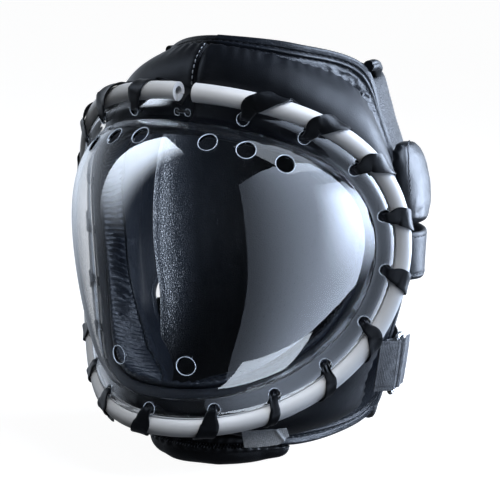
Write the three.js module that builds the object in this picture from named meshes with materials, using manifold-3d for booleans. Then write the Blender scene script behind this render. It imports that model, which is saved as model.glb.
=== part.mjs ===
// Karate head guard: a padded leather guard with a clear domed shield laced to its front.
// Millimetres, +Z up, the face towards -Y and the wearer's left at +X. It stands on a table.
import * as THREE from 'three';
import { mergeVertices } from 'three/addons/utils/BufferGeometryUtils.js';
import Module from 'manifold-3d';

const wasm = await Module();
wasm.setup();

// Gap kept between pieces that touch
const GAP = 0.3;

// Rim of the face opening: an egg seen from the front, swept back at the sides
const RIM_HALF_WIDTH = 113.5;
const RIM_EGG = 9.5;
const RIM_MID_HEIGHT = 127;
const RIM_HALF_HEIGHT = 106;
const RIM_TALL_MIDDLE = 4.5;
const RIM_FLAT_ENDS = 7;
const RIM_MID_DEPTH = -56;
const RIM_LEAN = 14;
const RIM_SWEEP = 39.5;
const RIM_FACING_SIDE = 55;
const RIM_FACING_UP = 10;
const RIM_STEPS = 48;
const RIM_LENGTH_STEPS = 720;
const TINY_TURN = 1e-3;

// Clear shield
const SHIELD_WALL = 2.4;
const FLANGE_OUTER = 1.4;
const FLANGE_INNER = 18;
const DOME_FRONT = -117;
const DOME_FULLNESS = 0.975;
const DOME_ROWS = 7;
const DOME_MID_HEIGHT = 134;
const DOME_SEARCH_ROUNDS = 40;
const VENT_RADIUS = 5.6;
const VENT_SIDES = 12;
const VENTS = [
  { side: 23.5, height: 203 },
  { side: 46, height: 200 },
  { side: 67, height: 193 },
  { side: 23.5, height: 72.5 },
];

// Slit hose on the flange edge
const HOSE_RADIUS = 6;
const HOSE_SIDES = 10;
const SLIT_HALF = SHIELD_WALL / 2 + GAP;
const SLIT_DEPTH = FLANGE_OUTER - GAP;
const HOSE_END_GAP = 12;

// Lace, wound once for each hole
const LACE_TURNS = 19;
const LACE_WIDTH = 11.5;
const LACE_NECK = 4.2;
const LACE_THICK = 1.4;
const LACE_HOLE_INSET = 11;
const LACE_HOLE_RADIUS = 3.6;
const SMALL_HOLE_SIDES = 6;
const CUTTER_LENGTH = 14;
const LACE_RADIUS = HOSE_RADIUS + LACE_THICK / 2 + 0.75;
const LACE_ARC_STEPS = 7;

// Tie cord at the hose ends
const TIE_RADIUS = 0.8;
const TIE_HOLE_RADIUS = 2;
const TIE_HALF_SPAN = 3.6;
const TIE_INSET = 12;
const TIE_STEPS = 12;
const TIE_SIDES = 6;

// Padded bumper round the face, and the base that it is sewn on
const PAD_THICK = 14;
const PAD_EDGE = 4;
const PAD_BEHIND_RIM = HOSE_RADIUS + LACE_THICK + 2.1;
const PAD_BULGE = 0.4;
const PAD_CREST = 0.6;
const PAD_LIP = [
  { inward: 20.5, out: -4.6 },
  { inward: 17.2, out: -SHIELD_WALL / 2 - GAP },
  { inward: 13.6, out: 0.3 - PAD_BEHIND_RIM },
  { inward: 0, out: -PAD_BEHIND_RIM },
];
const PORT_INSET = 23;
const PORT_DEPTH = -8;
const PAD_ROWS = 4;
const SHELL_THICK = 8;
const SHELL_EDGE = 3.2;
const SHELL_ROWS = 2;
const HEAD_CENTRE = new THREE.Vector3(0, 20, 140);

// Outer edges of bumper and base on one half, from the crown down to the chin
const EDGES = [
  { turn: 0, padSide: 0, padDepth: -58, padHeight: 259, side: 0, depth: -49, height: 263 },
  { turn: 28, padSide: 42, padDepth: -38, padHeight: 252, side: 44, depth: -32, height: 259 },
  { turn: 50, padSide: 70, padDepth: -3, padHeight: 236, side: 72, depth: 10, height: 245 },
  { turn: 68, padSide: 88, padDepth: 3, padHeight: 205, side: 79, depth: 21, height: 217 },
  { turn: 86, padSide: 101, padDepth: 8, padHeight: 158, side: 92, depth: 30, height: 170 },
  { turn: 104, padSide: 102, padDepth: 9, padHeight: 112, side: 95, depth: 34, height: 112 },
  { turn: 124, padSide: 91, padDepth: 6, padHeight: 68, side: 86, depth: 34, height: 68 },
  { turn: 143, padSide: 76, padDepth: 1, padHeight: 36, side: 79, depth: 31, height: 26 },
  { turn: 160, padSide: 47, padDepth: -36, padHeight: 22, side: 52, depth: -34, height: 13 },
  { turn: 170, padSide: 24, padDepth: -62, padHeight: 24, side: 27, depth: -54, height: 22 },
  { turn: 180, padSide: 0, padDepth: -76, padHeight: 24, side: 0, depth: -60, height: 23 },
];

// Chin roll
const CHIN_HALF_WIDTH = 39;
const CHIN_BACK = -20;
const CHIN_REACH = 45;
const CHIN_SWEEP = 80;
const CHIN_WIDE = 11;
const CHIN_TALL = 11.5;
const CHIN_SECTIONS = 12;
const CHIN_SIDES = 12;
const CHIN_FLAT = 1.5;
const CHIN_END_SWELL = 0.35;
const CHIN_TAPER = 2.2;

// Rear panel, from its lower edge up
const REAR_MID_DEPTH = 38;
const REAR_HALF_TURN = 88;
const REAR_THICK = 14;
const REAR_EDGE = 5;
const REAR_END = 10;
const REAR_SECTIONS = 16;
const REAR_STEPS = 7;
const REAR_ROWS = [
  { height: 0, halfWidth: 58, rear: 106, front: 22 },
  { height: 45, halfWidth: 71, rear: 120, front: 12 },
  { height: 85, halfWidth: 78, rear: 130, front: 15 },
  { height: 115, halfWidth: 84, rear: 134, front: 14 },
  { height: 150, halfWidth: 87, rear: 134, front: 17 },
  { height: 180, halfWidth: 83, rear: 126, front: 16 },
  { height: 205, halfWidth: 74, rear: 114, front: 13 },
  { height: 244, halfWidth: 63, rear: 97, front: 10 },
];
const REAR_LOW_EDGE = 26;
const REAR_FLAT = 0.25;
const REAR_LOW_CURVE = 2.5;
const REAR_HIGH_EDGE = 6;

// Ear pads, a little turned in at the top
const EAR = { side: 95.0, depth: 30.6, height: 174.5, thick: 10.2, halfDepth: 22.8, halfHeight: 29.5 };
const EAR_LEAN = 13;
const EAR_FLAT = 0.08;
const EAR_SQUARENESS = 0.75;
const EAR_SIDES = 14;
const EAR_RINGS = 8;

// Doubled leather straps below the ears, in plan from the base round to the rear panel
const UPPER_STRAP = { height: 130, width: 30, thick: 3.2, lean: 0, steps: 8 };
const UPPER_STRAP_ROUTE = [
  { side: 100.5, depth: 12.5 },
  { side: 105, depth: 20 },
  { side: 106.5, depth: 29 },
  { side: 103.5, depth: 40 },
  { side: 96.5, depth: 51 },
  { side: 85.4, depth: 62 },
];

// Webbing straps and wire loops by the jaw, in plan
const WEB = { height: 58, width: 33, thick: 1.4, lean: 6, steps: 14 };
const WIRE_RADIUS = 1.5;
const WIRE_CORNER = 3;
const WIRE_REACH = 38.5;
const WIRE_SIDES = 6;
const FRONT_BAR = { side: 93.5, depth: 24.5 };
const REAR_BAR = { side: 92.6, depth: 33.5 };
const BEND = WIRE_RADIUS + WEB.thick / 2 + 2 * GAP;
const LOWER_STRAP_ROUTE = [
  { side: 89, depth: 11 },
  { side: 92.4, depth: 16.5 },
  { side: FRONT_BAR.side + 1.9, depth: FRONT_BAR.depth - 2 },
  { side: FRONT_BAR.side + BEND, depth: FRONT_BAR.depth + 0.3 },
  { side: FRONT_BAR.side + 1.5, depth: FRONT_BAR.depth + BEND - 0.4 },
  { side: FRONT_BAR.side - 0.6, depth: FRONT_BAR.depth + BEND },
  { side: FRONT_BAR.side - BEND, depth: FRONT_BAR.depth + 0.6 },
  { side: 89.6, depth: 18 },
];
const NECK_STRAP_ROUTE = [
  { side: 73, depth: 62 },
  { side: 82.5, depth: 48 },
  { side: REAR_BAR.side - BEND - 0.4, depth: REAR_BAR.depth + 1.5 },
  { side: REAR_BAR.side - 1.5, depth: REAR_BAR.depth - BEND + 0.3 },
  { side: REAR_BAR.side + 0.6, depth: REAR_BAR.depth - BEND },
  { side: REAR_BAR.side + BEND, depth: REAR_BAR.depth },
  { side: 93.6, depth: 39 },
  { side: 93, depth: 45 },
];

// Woven tabs that hang from the lace outside the hose
const TAB = { from: 151, to: 139.5, near: -8.6, far: -20, out: -4, thick: 1.3 };
const TAB_STEPS = 4;

// Rolled leather loops between the base and the rear panel at the crown
const CROWN_ROLL_RADIUS = 3.5;
const CROWN_ROLL_STEPS = 6;
const CROWN_ROLL_SEGMENTS = 4;
const CROWN_ROLL_ROUTE = [
  { side: 73, depth: 12, height: 246.4 },
  { side: 72, depth: 22, height: 247 },
  { side: 68, depth: 34, height: 245.6 },
  { side: 60.5, depth: 47, height: 242.6 },
];

const LEATHER = { color: 0x1b1f25, roughness: 0.42, metalness: 0 };
const WEBBING = { color: 0x2b3036, roughness: 0.85, metalness: 0 };

const group = new THREE.Group();
const radians = THREE.MathUtils.degToRad;

// Adds one named piece with its own material
function addPiece(name, geometry, look) {
  const mesh = new THREE.Mesh(geometry, new THREE.MeshStandardMaterial(look));
  mesh.name = name;
  group.add(mesh);
}

// Closed skin over a run of equal closed outlines; an open run is capped at both ends.
// Each patch is split along its shorter diagonal, or the longer one on a band wound like a screw.
function skin(outlines, closed, screw = false) {
  const count = outlines[0].length;
  const positions = outlines.flat().flatMap((point) => point.toArray());
  const faces = [];
  const runs = closed ? outlines.length : outlines.length - 1;
  for (let i = 0; i < runs; i += 1) {
    const here = i * count;
    const next = ((i + 1) % outlines.length) * count;
    for (let j = 0; j < count; j += 1) {
      const k = (j + 1) % count;
      const forward = outlines[i][j].distanceTo(outlines[(i + 1) % outlines.length][k]);
      const backward = outlines[i][k].distanceTo(outlines[(i + 1) % outlines.length][j]);
      if (backward < forward !== screw) {
        faces.push(here + j, next + j, here + k, next + j, next + k, here + k);
      } else {
        faces.push(here + j, next + j, next + k, here + j, next + k, here + k);
      }
    }
  }
  if (!closed) {
    const last = (outlines.length - 1) * count;
    for (const [a, b, c] of capFaces(outlines[0])) {
      faces.push(a, b, c);
    }
    for (const [a, b, c] of capFaces(outlines[outlines.length - 1])) {
      faces.push(last + a, last + c, last + b);
    }
  }
  const geometry = new THREE.BufferGeometry();
  geometry.setAttribute('position', new THREE.Float32BufferAttribute(positions, 3));
  geometry.setIndex(faces);
  return outward(geometry);
}

// Triangles that close one outline, worked out in the outline's own plane
function capFaces(outline) {
  const centre = new THREE.Vector3();
  const normal = new THREE.Vector3();
  outline.forEach((point) => centre.addScaledVector(point, 1 / outline.length));
  outline.forEach((point, i) => {
    const next = outline[(i + 1) % outline.length];
    normal.add(point.clone().sub(centre).cross(next.clone().sub(centre)));
  });
  normal.normalize();
  const across = outline[0].clone().sub(centre);
  across.addScaledVector(normal, -across.dot(normal)).normalize();
  const along = normal.clone().cross(across);
  const flat = outline.map((point) => {
    const arm = point.clone().sub(centre);
    return new THREE.Vector2(arm.dot(across), arm.dot(along));
  });
  return THREE.ShapeUtils.triangulateShape(flat, []);
}

// Turns a geometry's faces outwards
function outward(geometry) {
  if (signedVolume(geometry) < 0) {
    const index = geometry.index.array;
    for (let i = 0; i < index.length; i += 3) {
      const kept = index[i + 1];
      index[i + 1] = index[i + 2];
      index[i + 2] = kept;
    }
  }
  geometry.computeVertexNormals();
  return geometry;
}

function signedVolume(geometry) {
  const at = geometry.getAttribute('position');
  const index = geometry.index.array;
  const corner = [new THREE.Vector3(), new THREE.Vector3(), new THREE.Vector3()];
  let volume = 0;
  for (let i = 0; i < index.length; i += 3) {
    corner.forEach((point, k) => point.fromBufferAttribute(at, index[i + k]));
    volume += corner[0].dot(corner[1].clone().cross(corner[2])) / 6;
  }
  return volume;
}

function toSolid(geometry) {
  const bare = geometry.clone();
  bare.deleteAttribute('normal');
  bare.deleteAttribute('uv');
  const merged = mergeVertices(bare, 1e-4);
  const vertProperties = new Float32Array(merged.getAttribute('position').array);
  const triVerts = new Uint32Array(merged.index.array);
  return new wasm.Manifold(new wasm.Mesh({ numProp: 3, vertProperties, triVerts }));
}

function fromSolid(solid) {
  const mesh = solid.getMesh();
  const geometry = new THREE.BufferGeometry();
  const points = [];
  for (let i = 0; i < mesh.vertProperties.length; i += mesh.numProp) {
    points.push(...mesh.vertProperties.slice(i, i + 3));
  }
  geometry.setAttribute('position', new THREE.Float32BufferAttribute(points, 3));
  geometry.setIndex([...mesh.triVerts]);
  geometry.computeVertexNormals();
  return geometry;
}

// Point on the rim's centre line; the turn is 0 at the top and a quarter turn at the wearer's left
function rimPoint(turn) {
  const side = RIM_HALF_WIDTH * Math.sin(turn) + RIM_EGG * Math.sin(2 * turn);
  const depth = RIM_MID_DEPTH + RIM_LEAN * Math.cos(turn) - RIM_SWEEP * Math.cos(2 * turn);
  const ends = RIM_TALL_MIDDLE * Math.cos(2 * turn) - RIM_FLAT_ENDS * Math.cos(3 * turn);
  const height = RIM_MID_HEIGHT + RIM_HALF_HEIGHT * Math.cos(turn) + ends;
  return new THREE.Vector3(side, depth, height);
}

// Rim frame: along the rim, out of the flange face, and inwards over the flange
function rimFrame(turn) {
  const point = rimPoint(turn);
  const along = rimPoint(turn + TINY_TURN).sub(rimPoint(turn - TINY_TURN)).normalize();
  const facing = radians(RIM_FACING_SIDE) * (point.x / RIM_HALF_WIDTH);
  const upward = radians(RIM_FACING_UP) * Math.cos(turn);
  const out = new THREE.Vector3(Math.sin(facing), -Math.cos(facing), Math.tan(upward));
  out.addScaledVector(along, -out.dot(along)).normalize();
  const inward = along.clone().cross(out);
  return { point, along, out, inward };
}

// Point given by its distance inwards over the flange and out of its face
function atRim(frame, inward, out) {
  return frame.point.clone().addScaledVector(frame.inward, inward).addScaledVector(frame.out, out);
}

const rimTurns = Array.from({ length: RIM_STEPS }, (_, i) => (i / RIM_STEPS) * 2 * Math.PI);
const rimFrames = rimTurns.map(rimFrame);

// Turns at equal distances along the rim, from the gap at the top round to it again
const rimRun = [0];
for (let i = 1; i <= RIM_LENGTH_STEPS; i += 1) {
  const from = rimPoint(((i - 1) / RIM_LENGTH_STEPS) * 2 * Math.PI);
  const to = rimPoint((i / RIM_LENGTH_STEPS) * 2 * Math.PI);
  rimRun.push(rimRun[i - 1] + from.distanceTo(to));
}
const rimLength = rimRun[RIM_LENGTH_STEPS];

function turnAt(fraction) {
  const wanted = fraction * rimLength;
  const i = Math.min(RIM_LENGTH_STEPS, Math.max(1, rimRun.findIndex((run) => run >= wanted)));
  const share = (wanted - rimRun[i - 1]) / (rimRun[i] - rimRun[i - 1]);
  return ((i - 1 + share) / RIM_LENGTH_STEPS) * 2 * Math.PI;
}

// Middle of the shield's wall: rows 0 to DOME_ROWS over the dome, then the flange
const domeCentre = new THREE.Vector3(0, DOME_FRONT, DOME_MID_HEIGHT);

function domePoint(share, base) {
  const fall = (1 - Math.sqrt(1 - DOME_FULLNESS * share * share)) / (1 - Math.sqrt(1 - DOME_FULLNESS));
  const point = domeCentre.clone().lerp(base, share);
  point.y = THREE.MathUtils.lerp(DOME_FRONT, base.y, fall);
  return point;
}

function shieldColumn(frame) {
  const base = atRim(frame, FLANGE_INNER, 0);
  const column = [];
  for (let row = 1; row <= DOME_ROWS; row += 1) {
    column.push(domePoint(Math.sin((row / DOME_ROWS) * (Math.PI / 2)), base));
  }
  column.push(atRim(frame, FLANGE_OUTER, 0));
  return column;
}

// Face shield with its holes
function faceShield() {
  const columns = rimFrames.map(shieldColumn);
  const rows = columns[0].length;
  const half = SHIELD_WALL / 2;
  const normals = columns.map((column, i) =>
    column.map((point, row) => {
      if (row > DOME_ROWS - 1) {
        return rimFrames[i].out;
      }
      const left = columns[(i + RIM_STEPS - 1) % RIM_STEPS][row];
      const right = columns[(i + 1) % RIM_STEPS][row];
      const above = row > 0 ? column[row - 1] : domeCentre;
      const below = column[row + 1];
      return right.clone().sub(left).cross(above.clone().sub(below)).normalize();
    }),
  );
  const sign = Math.sign(-normals[0][1].y);
  const points = [];
  for (const face of [1, -1]) {
    points.push(domeCentre.clone().add(new THREE.Vector3(0, -half * face, 0)));
    columns.forEach((column, i) =>
      column.forEach((point, row) => {
        const turned = row > DOME_ROWS - 1 ? 1 : sign;
        points.push(point.clone().addScaledVector(normals[i][row], half * face * turned));
      }),
    );
  }
  const side = 1 + RIM_STEPS * rows;
  const faces = [];
  const corner = (face, i, row) => face * side + 1 + (i % RIM_STEPS) * rows + row;
  for (let i = 0; i < RIM_STEPS; i += 1) {
    faces.push(0, corner(0, i, 0), corner(0, i + 1, 0));
    faces.push(side, corner(1, i + 1, 0), corner(1, i, 0));
    for (let row = 0; row < rows - 1; row += 1) {
      const [a, b] = [corner(0, i, row), corner(0, i + 1, row)];
      const [c, d] = [corner(0, i, row + 1), corner(0, i + 1, row + 1)];
      faces.push(a, c, d, a, d, b);
      faces.push(side + a, side + d, side + c, side + a, side + b, side + d);
    }
    const [a, b] = [corner(0, i, rows - 1), corner(0, i + 1, rows - 1)];
    faces.push(a, side + a, side + b, a, side + b, b);
  }
  const geometry = new THREE.BufferGeometry();
  const positions = points.flatMap((point) => point.toArray());
  geometry.setAttribute('position', new THREE.Float32BufferAttribute(positions, 3));
  geometry.setIndex(faces);
  let solid = toSolid(outward(geometry));
  for (const cutter of shieldCutters()) {
    solid = solid.subtract(toSolid(cutter));
  }
  return fromSolid(solid);
}

// Round cutter through the wall at a point, along a direction
function holeCutter(point, direction, radius, sides) {
  const cutter = new THREE.CylinderGeometry(radius, radius, CUTTER_LENGTH, sides);
  const turn = new THREE.Quaternion().setFromUnitVectors(new THREE.Vector3(0, 1, 0), direction);
  cutter.applyQuaternion(turn);
  cutter.translate(point.x, point.y, point.z);
  return cutter;
}

// Spot on the dome at a given side and height, with the way out of the wall there
function domeSpot(side, height) {
  const find = (x, z) => {
    const reach = Math.hypot(x, z - DOME_MID_HEIGHT);
    const wanted = Math.atan2(x, z - DOME_MID_HEIGHT);
    let turn = wanted;
    for (let i = 0; i < DOME_SEARCH_ROUNDS; i += 1) {
      const base = atRim(rimFrame(turn), FLANGE_INNER, 0);
      turn += wanted - Math.atan2(base.x, base.z - DOME_MID_HEIGHT);
    }
    const base = atRim(rimFrame(turn), FLANGE_INNER, 0);
    return domePoint(reach / Math.hypot(base.x, base.z - DOME_MID_HEIGHT), base);
  };
  const spot = find(side, height);
  const across = find(side + 1, height).sub(find(side - 1, height));
  const up = find(side, height + 1).sub(find(side, height - 1));
  const out = across.cross(up).normalize();
  out.multiplyScalar(-Math.sign(out.y));
  return { spot, out };
}

function shieldCutters() {
  const cutters = [];
  for (const vent of VENTS) {
    for (const hand of [-1, 1]) {
      const { spot, out } = domeSpot(hand * vent.side, vent.height);
      cutters.push(holeCutter(spot, out, VENT_RADIUS, VENT_SIDES));
    }
  }
  for (let i = 1; i <= LACE_TURNS; i += 1) {
    const frame = rimFrame(turnAt(i / (LACE_TURNS + 1)));
    const spot = atRim(frame, LACE_HOLE_INSET, 0);
    cutters.push(holeCutter(spot, frame.out, LACE_HOLE_RADIUS, SMALL_HOLE_SIDES));
  }
  for (const hand of [-1, 1]) {
    const top = rimFrame(0);
    const spot = atRim(top, TIE_INSET, 0).addScaledVector(top.along, hand * TIE_HALF_SPAN);
    cutters.push(holeCutter(spot, top.out, TIE_HOLE_RADIUS, SMALL_HOLE_SIDES));
  }
  return cutters;
}

// Slit hose round the flange edge
function rimTube() {
  const half = (HOSE_END_GAP / 2) * (TINY_TURN / rimPoint(TINY_TURN).distanceTo(rimPoint(0)));
  const turns = [half, ...rimTurns.slice(1), 2 * Math.PI - half];
  const lip = Math.asin(SLIT_HALF / HOSE_RADIUS);
  return skin(
    turns.map((turn) => {
      const frame = rimFrame(turn);
      const outline = [];
      for (let i = 0; i <= HOSE_SIDES; i += 1) {
        const angle = lip + (i / HOSE_SIDES) * (2 * Math.PI - 2 * lip);
        outline.push(atRim(frame, HOSE_RADIUS * Math.cos(angle), HOSE_RADIUS * Math.sin(angle)));
      }
      outline.push(atRim(frame, SLIT_DEPTH, -SLIT_HALF));
      outline.push(atRim(frame, SLIT_DEPTH, SLIT_HALF));
      return outline;
    }),
    false,
  );
}

// One turn of the lace round the hose: up through a hole, over the hose, behind it to the next hole
const LACE_ARC_START = 66;
const LACE_KNOTS = [
  { slide: 0, inward: LACE_HOLE_INSET, out: 0, width: LACE_NECK },
  { slide: 0.03, inward: LACE_HOLE_INSET - 0.1, out: 2.6, width: LACE_NECK },
  { slide: 0.12, inward: 7.2, out: 5.5, width: (LACE_NECK + LACE_WIDTH) / 2 },
];
for (let i = 0; i <= LACE_ARC_STEPS; i += 1) {
  const share = i / LACE_ARC_STEPS;
  const angle = radians(LACE_ARC_START + share * (360 - 2 * LACE_ARC_START));
  LACE_KNOTS.push({
    slide: THREE.MathUtils.lerp(0.2, 0.8, share),
    inward: LACE_RADIUS * Math.cos(angle),
    out: LACE_RADIUS * Math.sin(angle),
    width: LACE_WIDTH,
  });
}
LACE_KNOTS.push({ slide: 0.88, inward: 7.2, out: -5.5, width: (LACE_NECK + LACE_WIDTH) / 2 });
LACE_KNOTS.push({ slide: 0.97, inward: LACE_HOLE_INSET - 0.1, out: -2.6, width: LACE_NECK });

function rimLace() {
  const path = [];
  const pitch = 1 / (LACE_TURNS + 1);
  for (let turn = 1; turn <= LACE_TURNS; turn += 1) {
    const knots = turn < LACE_TURNS ? LACE_KNOTS : LACE_KNOTS.slice(0, -3);
    for (const knot of knots) {
      const frame = rimFrame(turnAt((turn + knot.slide) * pitch));
      path.push({ centre: atRim(frame, knot.inward, knot.out), along: frame.along, width: knot.width });
    }
  }
  return skin(
    path.map(({ centre, along, width }, i) => {
      const from = path[Math.max(0, i - 1)].centre;
      const to = path[Math.min(path.length - 1, i + 1)].centre;
      const way = to.clone().sub(from).normalize();
      const across = along.clone().addScaledVector(way, -along.dot(way)).normalize();
      const thick = way.clone().cross(across);
      return bandOutline(centre, across, thick, width, LACE_THICK);
    }),
    false,
    true,
  );
}

// Rectangle about a centre
function bandOutline(centre, across, thick, width, depth) {
  return [[1, 1], [-1, 1], [-1, -1], [1, -1]].map(([a, b]) =>
    centre.clone().addScaledVector(across, (a * width) / 2).addScaledVector(thick, (b * depth) / 2),
  );
}

// Thin cord tied through the two small holes at the hose ends
function tubeTie() {
  const { along, out, inward } = rimFrame(0);
  const middle = atRim(rimFrame(0), TIE_INSET, 0);
  const rise = SHIELD_WALL / 2 + TIE_RADIUS + GAP;
  const squared = (value, power) => Math.sign(value) * Math.abs(value) ** power;
  const outlines = [];
  for (let i = 0; i < TIE_STEPS; i += 1) {
    const angle = ((i + 0.5) / TIE_STEPS) * 2 * Math.PI;
    const centre = middle.clone().addScaledVector(along, squared(Math.cos(angle), 0.5) * TIE_HALF_SPAN);
    centre.addScaledVector(out, squared(Math.sin(angle), 0.7) * rise);
    const spread = along.clone().multiplyScalar(Math.cos(angle)).addScaledVector(out, Math.sin(angle));
    outlines.push(roundOutline(centre, spread, inward, TIE_RADIUS, TIE_SIDES));
  }
  return skin(outlines, true);
}

// Circle about a centre, in the plane of two directions
function roundOutline(centre, first, second, radius, sides) {
  return Array.from({ length: sides }, (_, i) => {
    const roll = (i / sides) * 2 * Math.PI;
    const point = centre.clone().addScaledVector(first, radius * Math.cos(roll));
    return point.addScaledVector(second, radius * Math.sin(roll));
  });
}

// Smooth edge curves through the table rows, mirrored to both halves
function edgeCurve(side, depth, height) {
  const rows = [];
  for (const row of EDGES) {
    rows.push({ turn: radians(row.turn), point: new THREE.Vector3(row[side], row[depth], row[height]) });
  }
  const mirrored = rows.slice(1, -1).reverse().map(({ turn, point }) => ({
    turn: 2 * Math.PI - turn,
    point: new THREE.Vector3(-point.x, point.y, point.z),
  }));
  const all = [...rows, ...mirrored];
  const curve = new THREE.CatmullRomCurve3(all.map((row) => row.point), true, 'centripetal');
  return (turn) => {
    const stops = [...all.map((row) => row.turn), 2 * Math.PI];
    const i = Math.max(0, stops.findIndex((stop, k) => turn >= stop && turn < stops[k + 1]));
    const share = (turn - stops[i]) / (stops[i + 1] - stops[i]);
    return curve.getPoint((i + share) / all.length);
  };
}

const padEdge = edgeCurve('padSide', 'padDepth', 'padHeight');
const shellEdge = edgeCurve('side', 'depth', 'height');

// Outer face of the base at one turn: under the bumper, then on to the bound rim
function shellFace(turn) {
  const frame = rimFrame(turn);
  const port = atRim(frame, PORT_INSET, PORT_DEPTH);
  const under = atRim(frame, 0, -PAD_BEHIND_RIM - PAD_THICK);
  const edge = padEdge(turn);
  const seam = edge.clone().lerp(HEAD_CENTRE, PAD_EDGE / edge.distanceTo(HEAD_CENTRE));
  const rim = shellEdge(turn);
  const curve = new THREE.CatmullRomCurve3([port, under, seam, rim], false, 'centripetal');
  const points = [];
  for (let row = 0; row <= PAD_ROWS; row += 1) {
    points.push(curve.getPoint(((row / PAD_ROWS) * 2) / 3));
  }
  for (let row = 1; row <= SHELL_ROWS; row += 1) {
    points.push(curve.getPoint((2 + row / SHELL_ROWS) / 3));
  }
  return points;
}

// Way out of a closed ring of columns, point by point
function gridNormals(columns) {
  return columns.map((column, i) =>
    column.map((_, row) => {
      const left = columns[(i + columns.length - 1) % columns.length][row];
      const right = columns[(i + 1) % columns.length][row];
      const first = column[Math.max(0, row - 1)];
      const second = column[Math.min(column.length - 1, row + 1)];
      return right.clone().sub(left).cross(second.clone().sub(first)).normalize();
    }),
  );
}

const shellFaces = rimTurns.map(shellFace);
const shellNormals = gridNormals(shellFaces);

// Bumper's outer roll at one turn, from under the hose to its outer edge
function padRoll(turn) {
  const frame = rimFrame(turn);
  const lip = PAD_LIP[PAD_LIP.length - 1];
  const under = atRim(frame, lip.inward, lip.out);
  const edge = padEdge(turn);
  const crest = under.clone().lerp(edge, PAD_CREST);
  crest.addScaledVector(frame.out, under.distanceTo(edge) * PAD_BULGE);
  return new THREE.QuadraticBezierCurve3(under, crest, edge);
}

// Bumper: a lip under the flange, a dip under the hose and lace, then a full roll to its outer edge
function frontPad() {
  return skin(
    rimFrames.map((frame, i) => {
      const face = PAD_LIP.slice(0, -1).map((spot) => atRim(frame, spot.inward, spot.out));
      face.push(...padRoll(rimTurns[i]).getPoints(PAD_ROWS));
      const back = [];
      for (let row = PAD_ROWS; row >= 0; row -= 1) {
        back.push(shellFaces[i][row].clone().addScaledVector(shellNormals[i][row], GAP));
      }
      return [...face, ...back];
    }),
    true,
  );
}

// Thickness across a padded section, thin at both sewn edges
function padProfile(share, full, edge) {
  return edge + (full - edge) * Math.sin(share * Math.PI) ** 0.5;
}

// Base: padded behind the bumper and thin at its rim
function frontShell() {
  const rows = PAD_ROWS + SHELL_ROWS;
  return skin(
    shellFaces.map((column, i) => {
      const back = [];
      for (let row = rows; row >= 0; row -= 1) {
        const thick = padProfile(row / rows, SHELL_THICK, SHELL_EDGE);
        back.push(column[row].clone().addScaledVector(shellNormals[i][row], -thick));
      }
      return [...column, ...back];
    }),
    true,
  );
}

// Padded roll under the chin, flat where it rests
function chinPad() {
  const outlines = [];
  for (let i = 0; i <= CHIN_SECTIONS; i += 1) {
    const share = (i / CHIN_SECTIONS) * 2 - 1;
    const turn = radians(CHIN_SWEEP) * share;
    const [across, ahead] = [Math.sin(turn), -Math.cos(turn)];
    const centre = new THREE.Vector3(CHIN_HALF_WIDTH * across, CHIN_BACK + CHIN_REACH * ahead, 0);
    const out = new THREE.Vector3(across / CHIN_HALF_WIDTH, ahead / CHIN_REACH, 0).normalize();
    const swell = THREE.MathUtils.lerp(CHIN_END_SWELL, 1, (1 - Math.abs(share) ** CHIN_TAPER) ** 0.5);
    const outline = [];
    for (let k = 0; k < CHIN_SIDES; k += 1) {
      const roll = (k / CHIN_SIDES) * 2 * Math.PI;
      const point = centre.clone().addScaledVector(out, CHIN_WIDE * swell * Math.cos(roll));
      const middle = CHIN_TALL * swell - CHIN_FLAT;
      point.z = Math.max(0, middle + CHIN_TALL * swell * Math.sin(roll));
      outline.push(point);
    }
    outlines.push(outline);
  }
  return skin(outlines, false);
}

// Rear panel's outer face, by its turn from the back and its height
function rearSize(height) {
  const i = Math.max(1, REAR_ROWS.findIndex((row) => row.height >= height));
  const [below, above] = [REAR_ROWS[i - 1], REAR_ROWS[i]];
  const share = (height - below.height) / (above.height - below.height);
  return {
    halfWidth: THREE.MathUtils.lerp(below.halfWidth, above.halfWidth, share),
    rear: THREE.MathUtils.lerp(below.rear, above.rear, share),
    front: THREE.MathUtils.lerp(below.front, above.front, share),
  };
}

function rearPoint(turn, height, inset, atEnd) {
  const { halfWidth, rear, front } = rearSize(height);
  const side = (halfWidth - inset) * Math.sin(turn);
  const depth = REAR_MID_DEPTH + (rear - REAR_MID_DEPTH - inset) * Math.cos(turn);
  return new THREE.Vector3(side, atEnd ? front : depth, height);
}

function rearPad() {
  const outlines = [];
  for (let i = -1; i <= REAR_SECTIONS + 1; i += 1) {
    const atEnd = i < 0 || i > REAR_SECTIONS;
    const share = THREE.MathUtils.clamp((i / REAR_SECTIONS) * 2 - 1, -1, 1);
    const turn = radians(REAR_HALF_TURN) * share;
    const rise = Math.max(0, (Math.abs(share) - REAR_FLAT) / (1 - REAR_FLAT));
    const low = REAR_LOW_EDGE * rise ** REAR_LOW_CURVE;
    const high = REAR_ROWS[REAR_ROWS.length - 1].height - REAR_HIGH_EDGE * share ** 2;
    const full = atEnd ? REAR_END : REAR_THICK;
    const outer = [];
    const inner = [];
    for (let k = 0; k <= REAR_STEPS; k += 1) {
      const height = THREE.MathUtils.lerp(low, high, k / REAR_STEPS);
      const bulge = Math.sin((k / REAR_STEPS) * Math.PI) ** 0.5;
      const thick = THREE.MathUtils.lerp(REAR_EDGE, full, bulge);
      outer.push(rearPoint(turn, height, 0, atEnd));
      inner.push(rearPoint(turn, height, thick, atEnd));
    }
    outlines.push([...outer, ...inner.reverse()]);
  }
  return skin(outlines, false);
}

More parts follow.
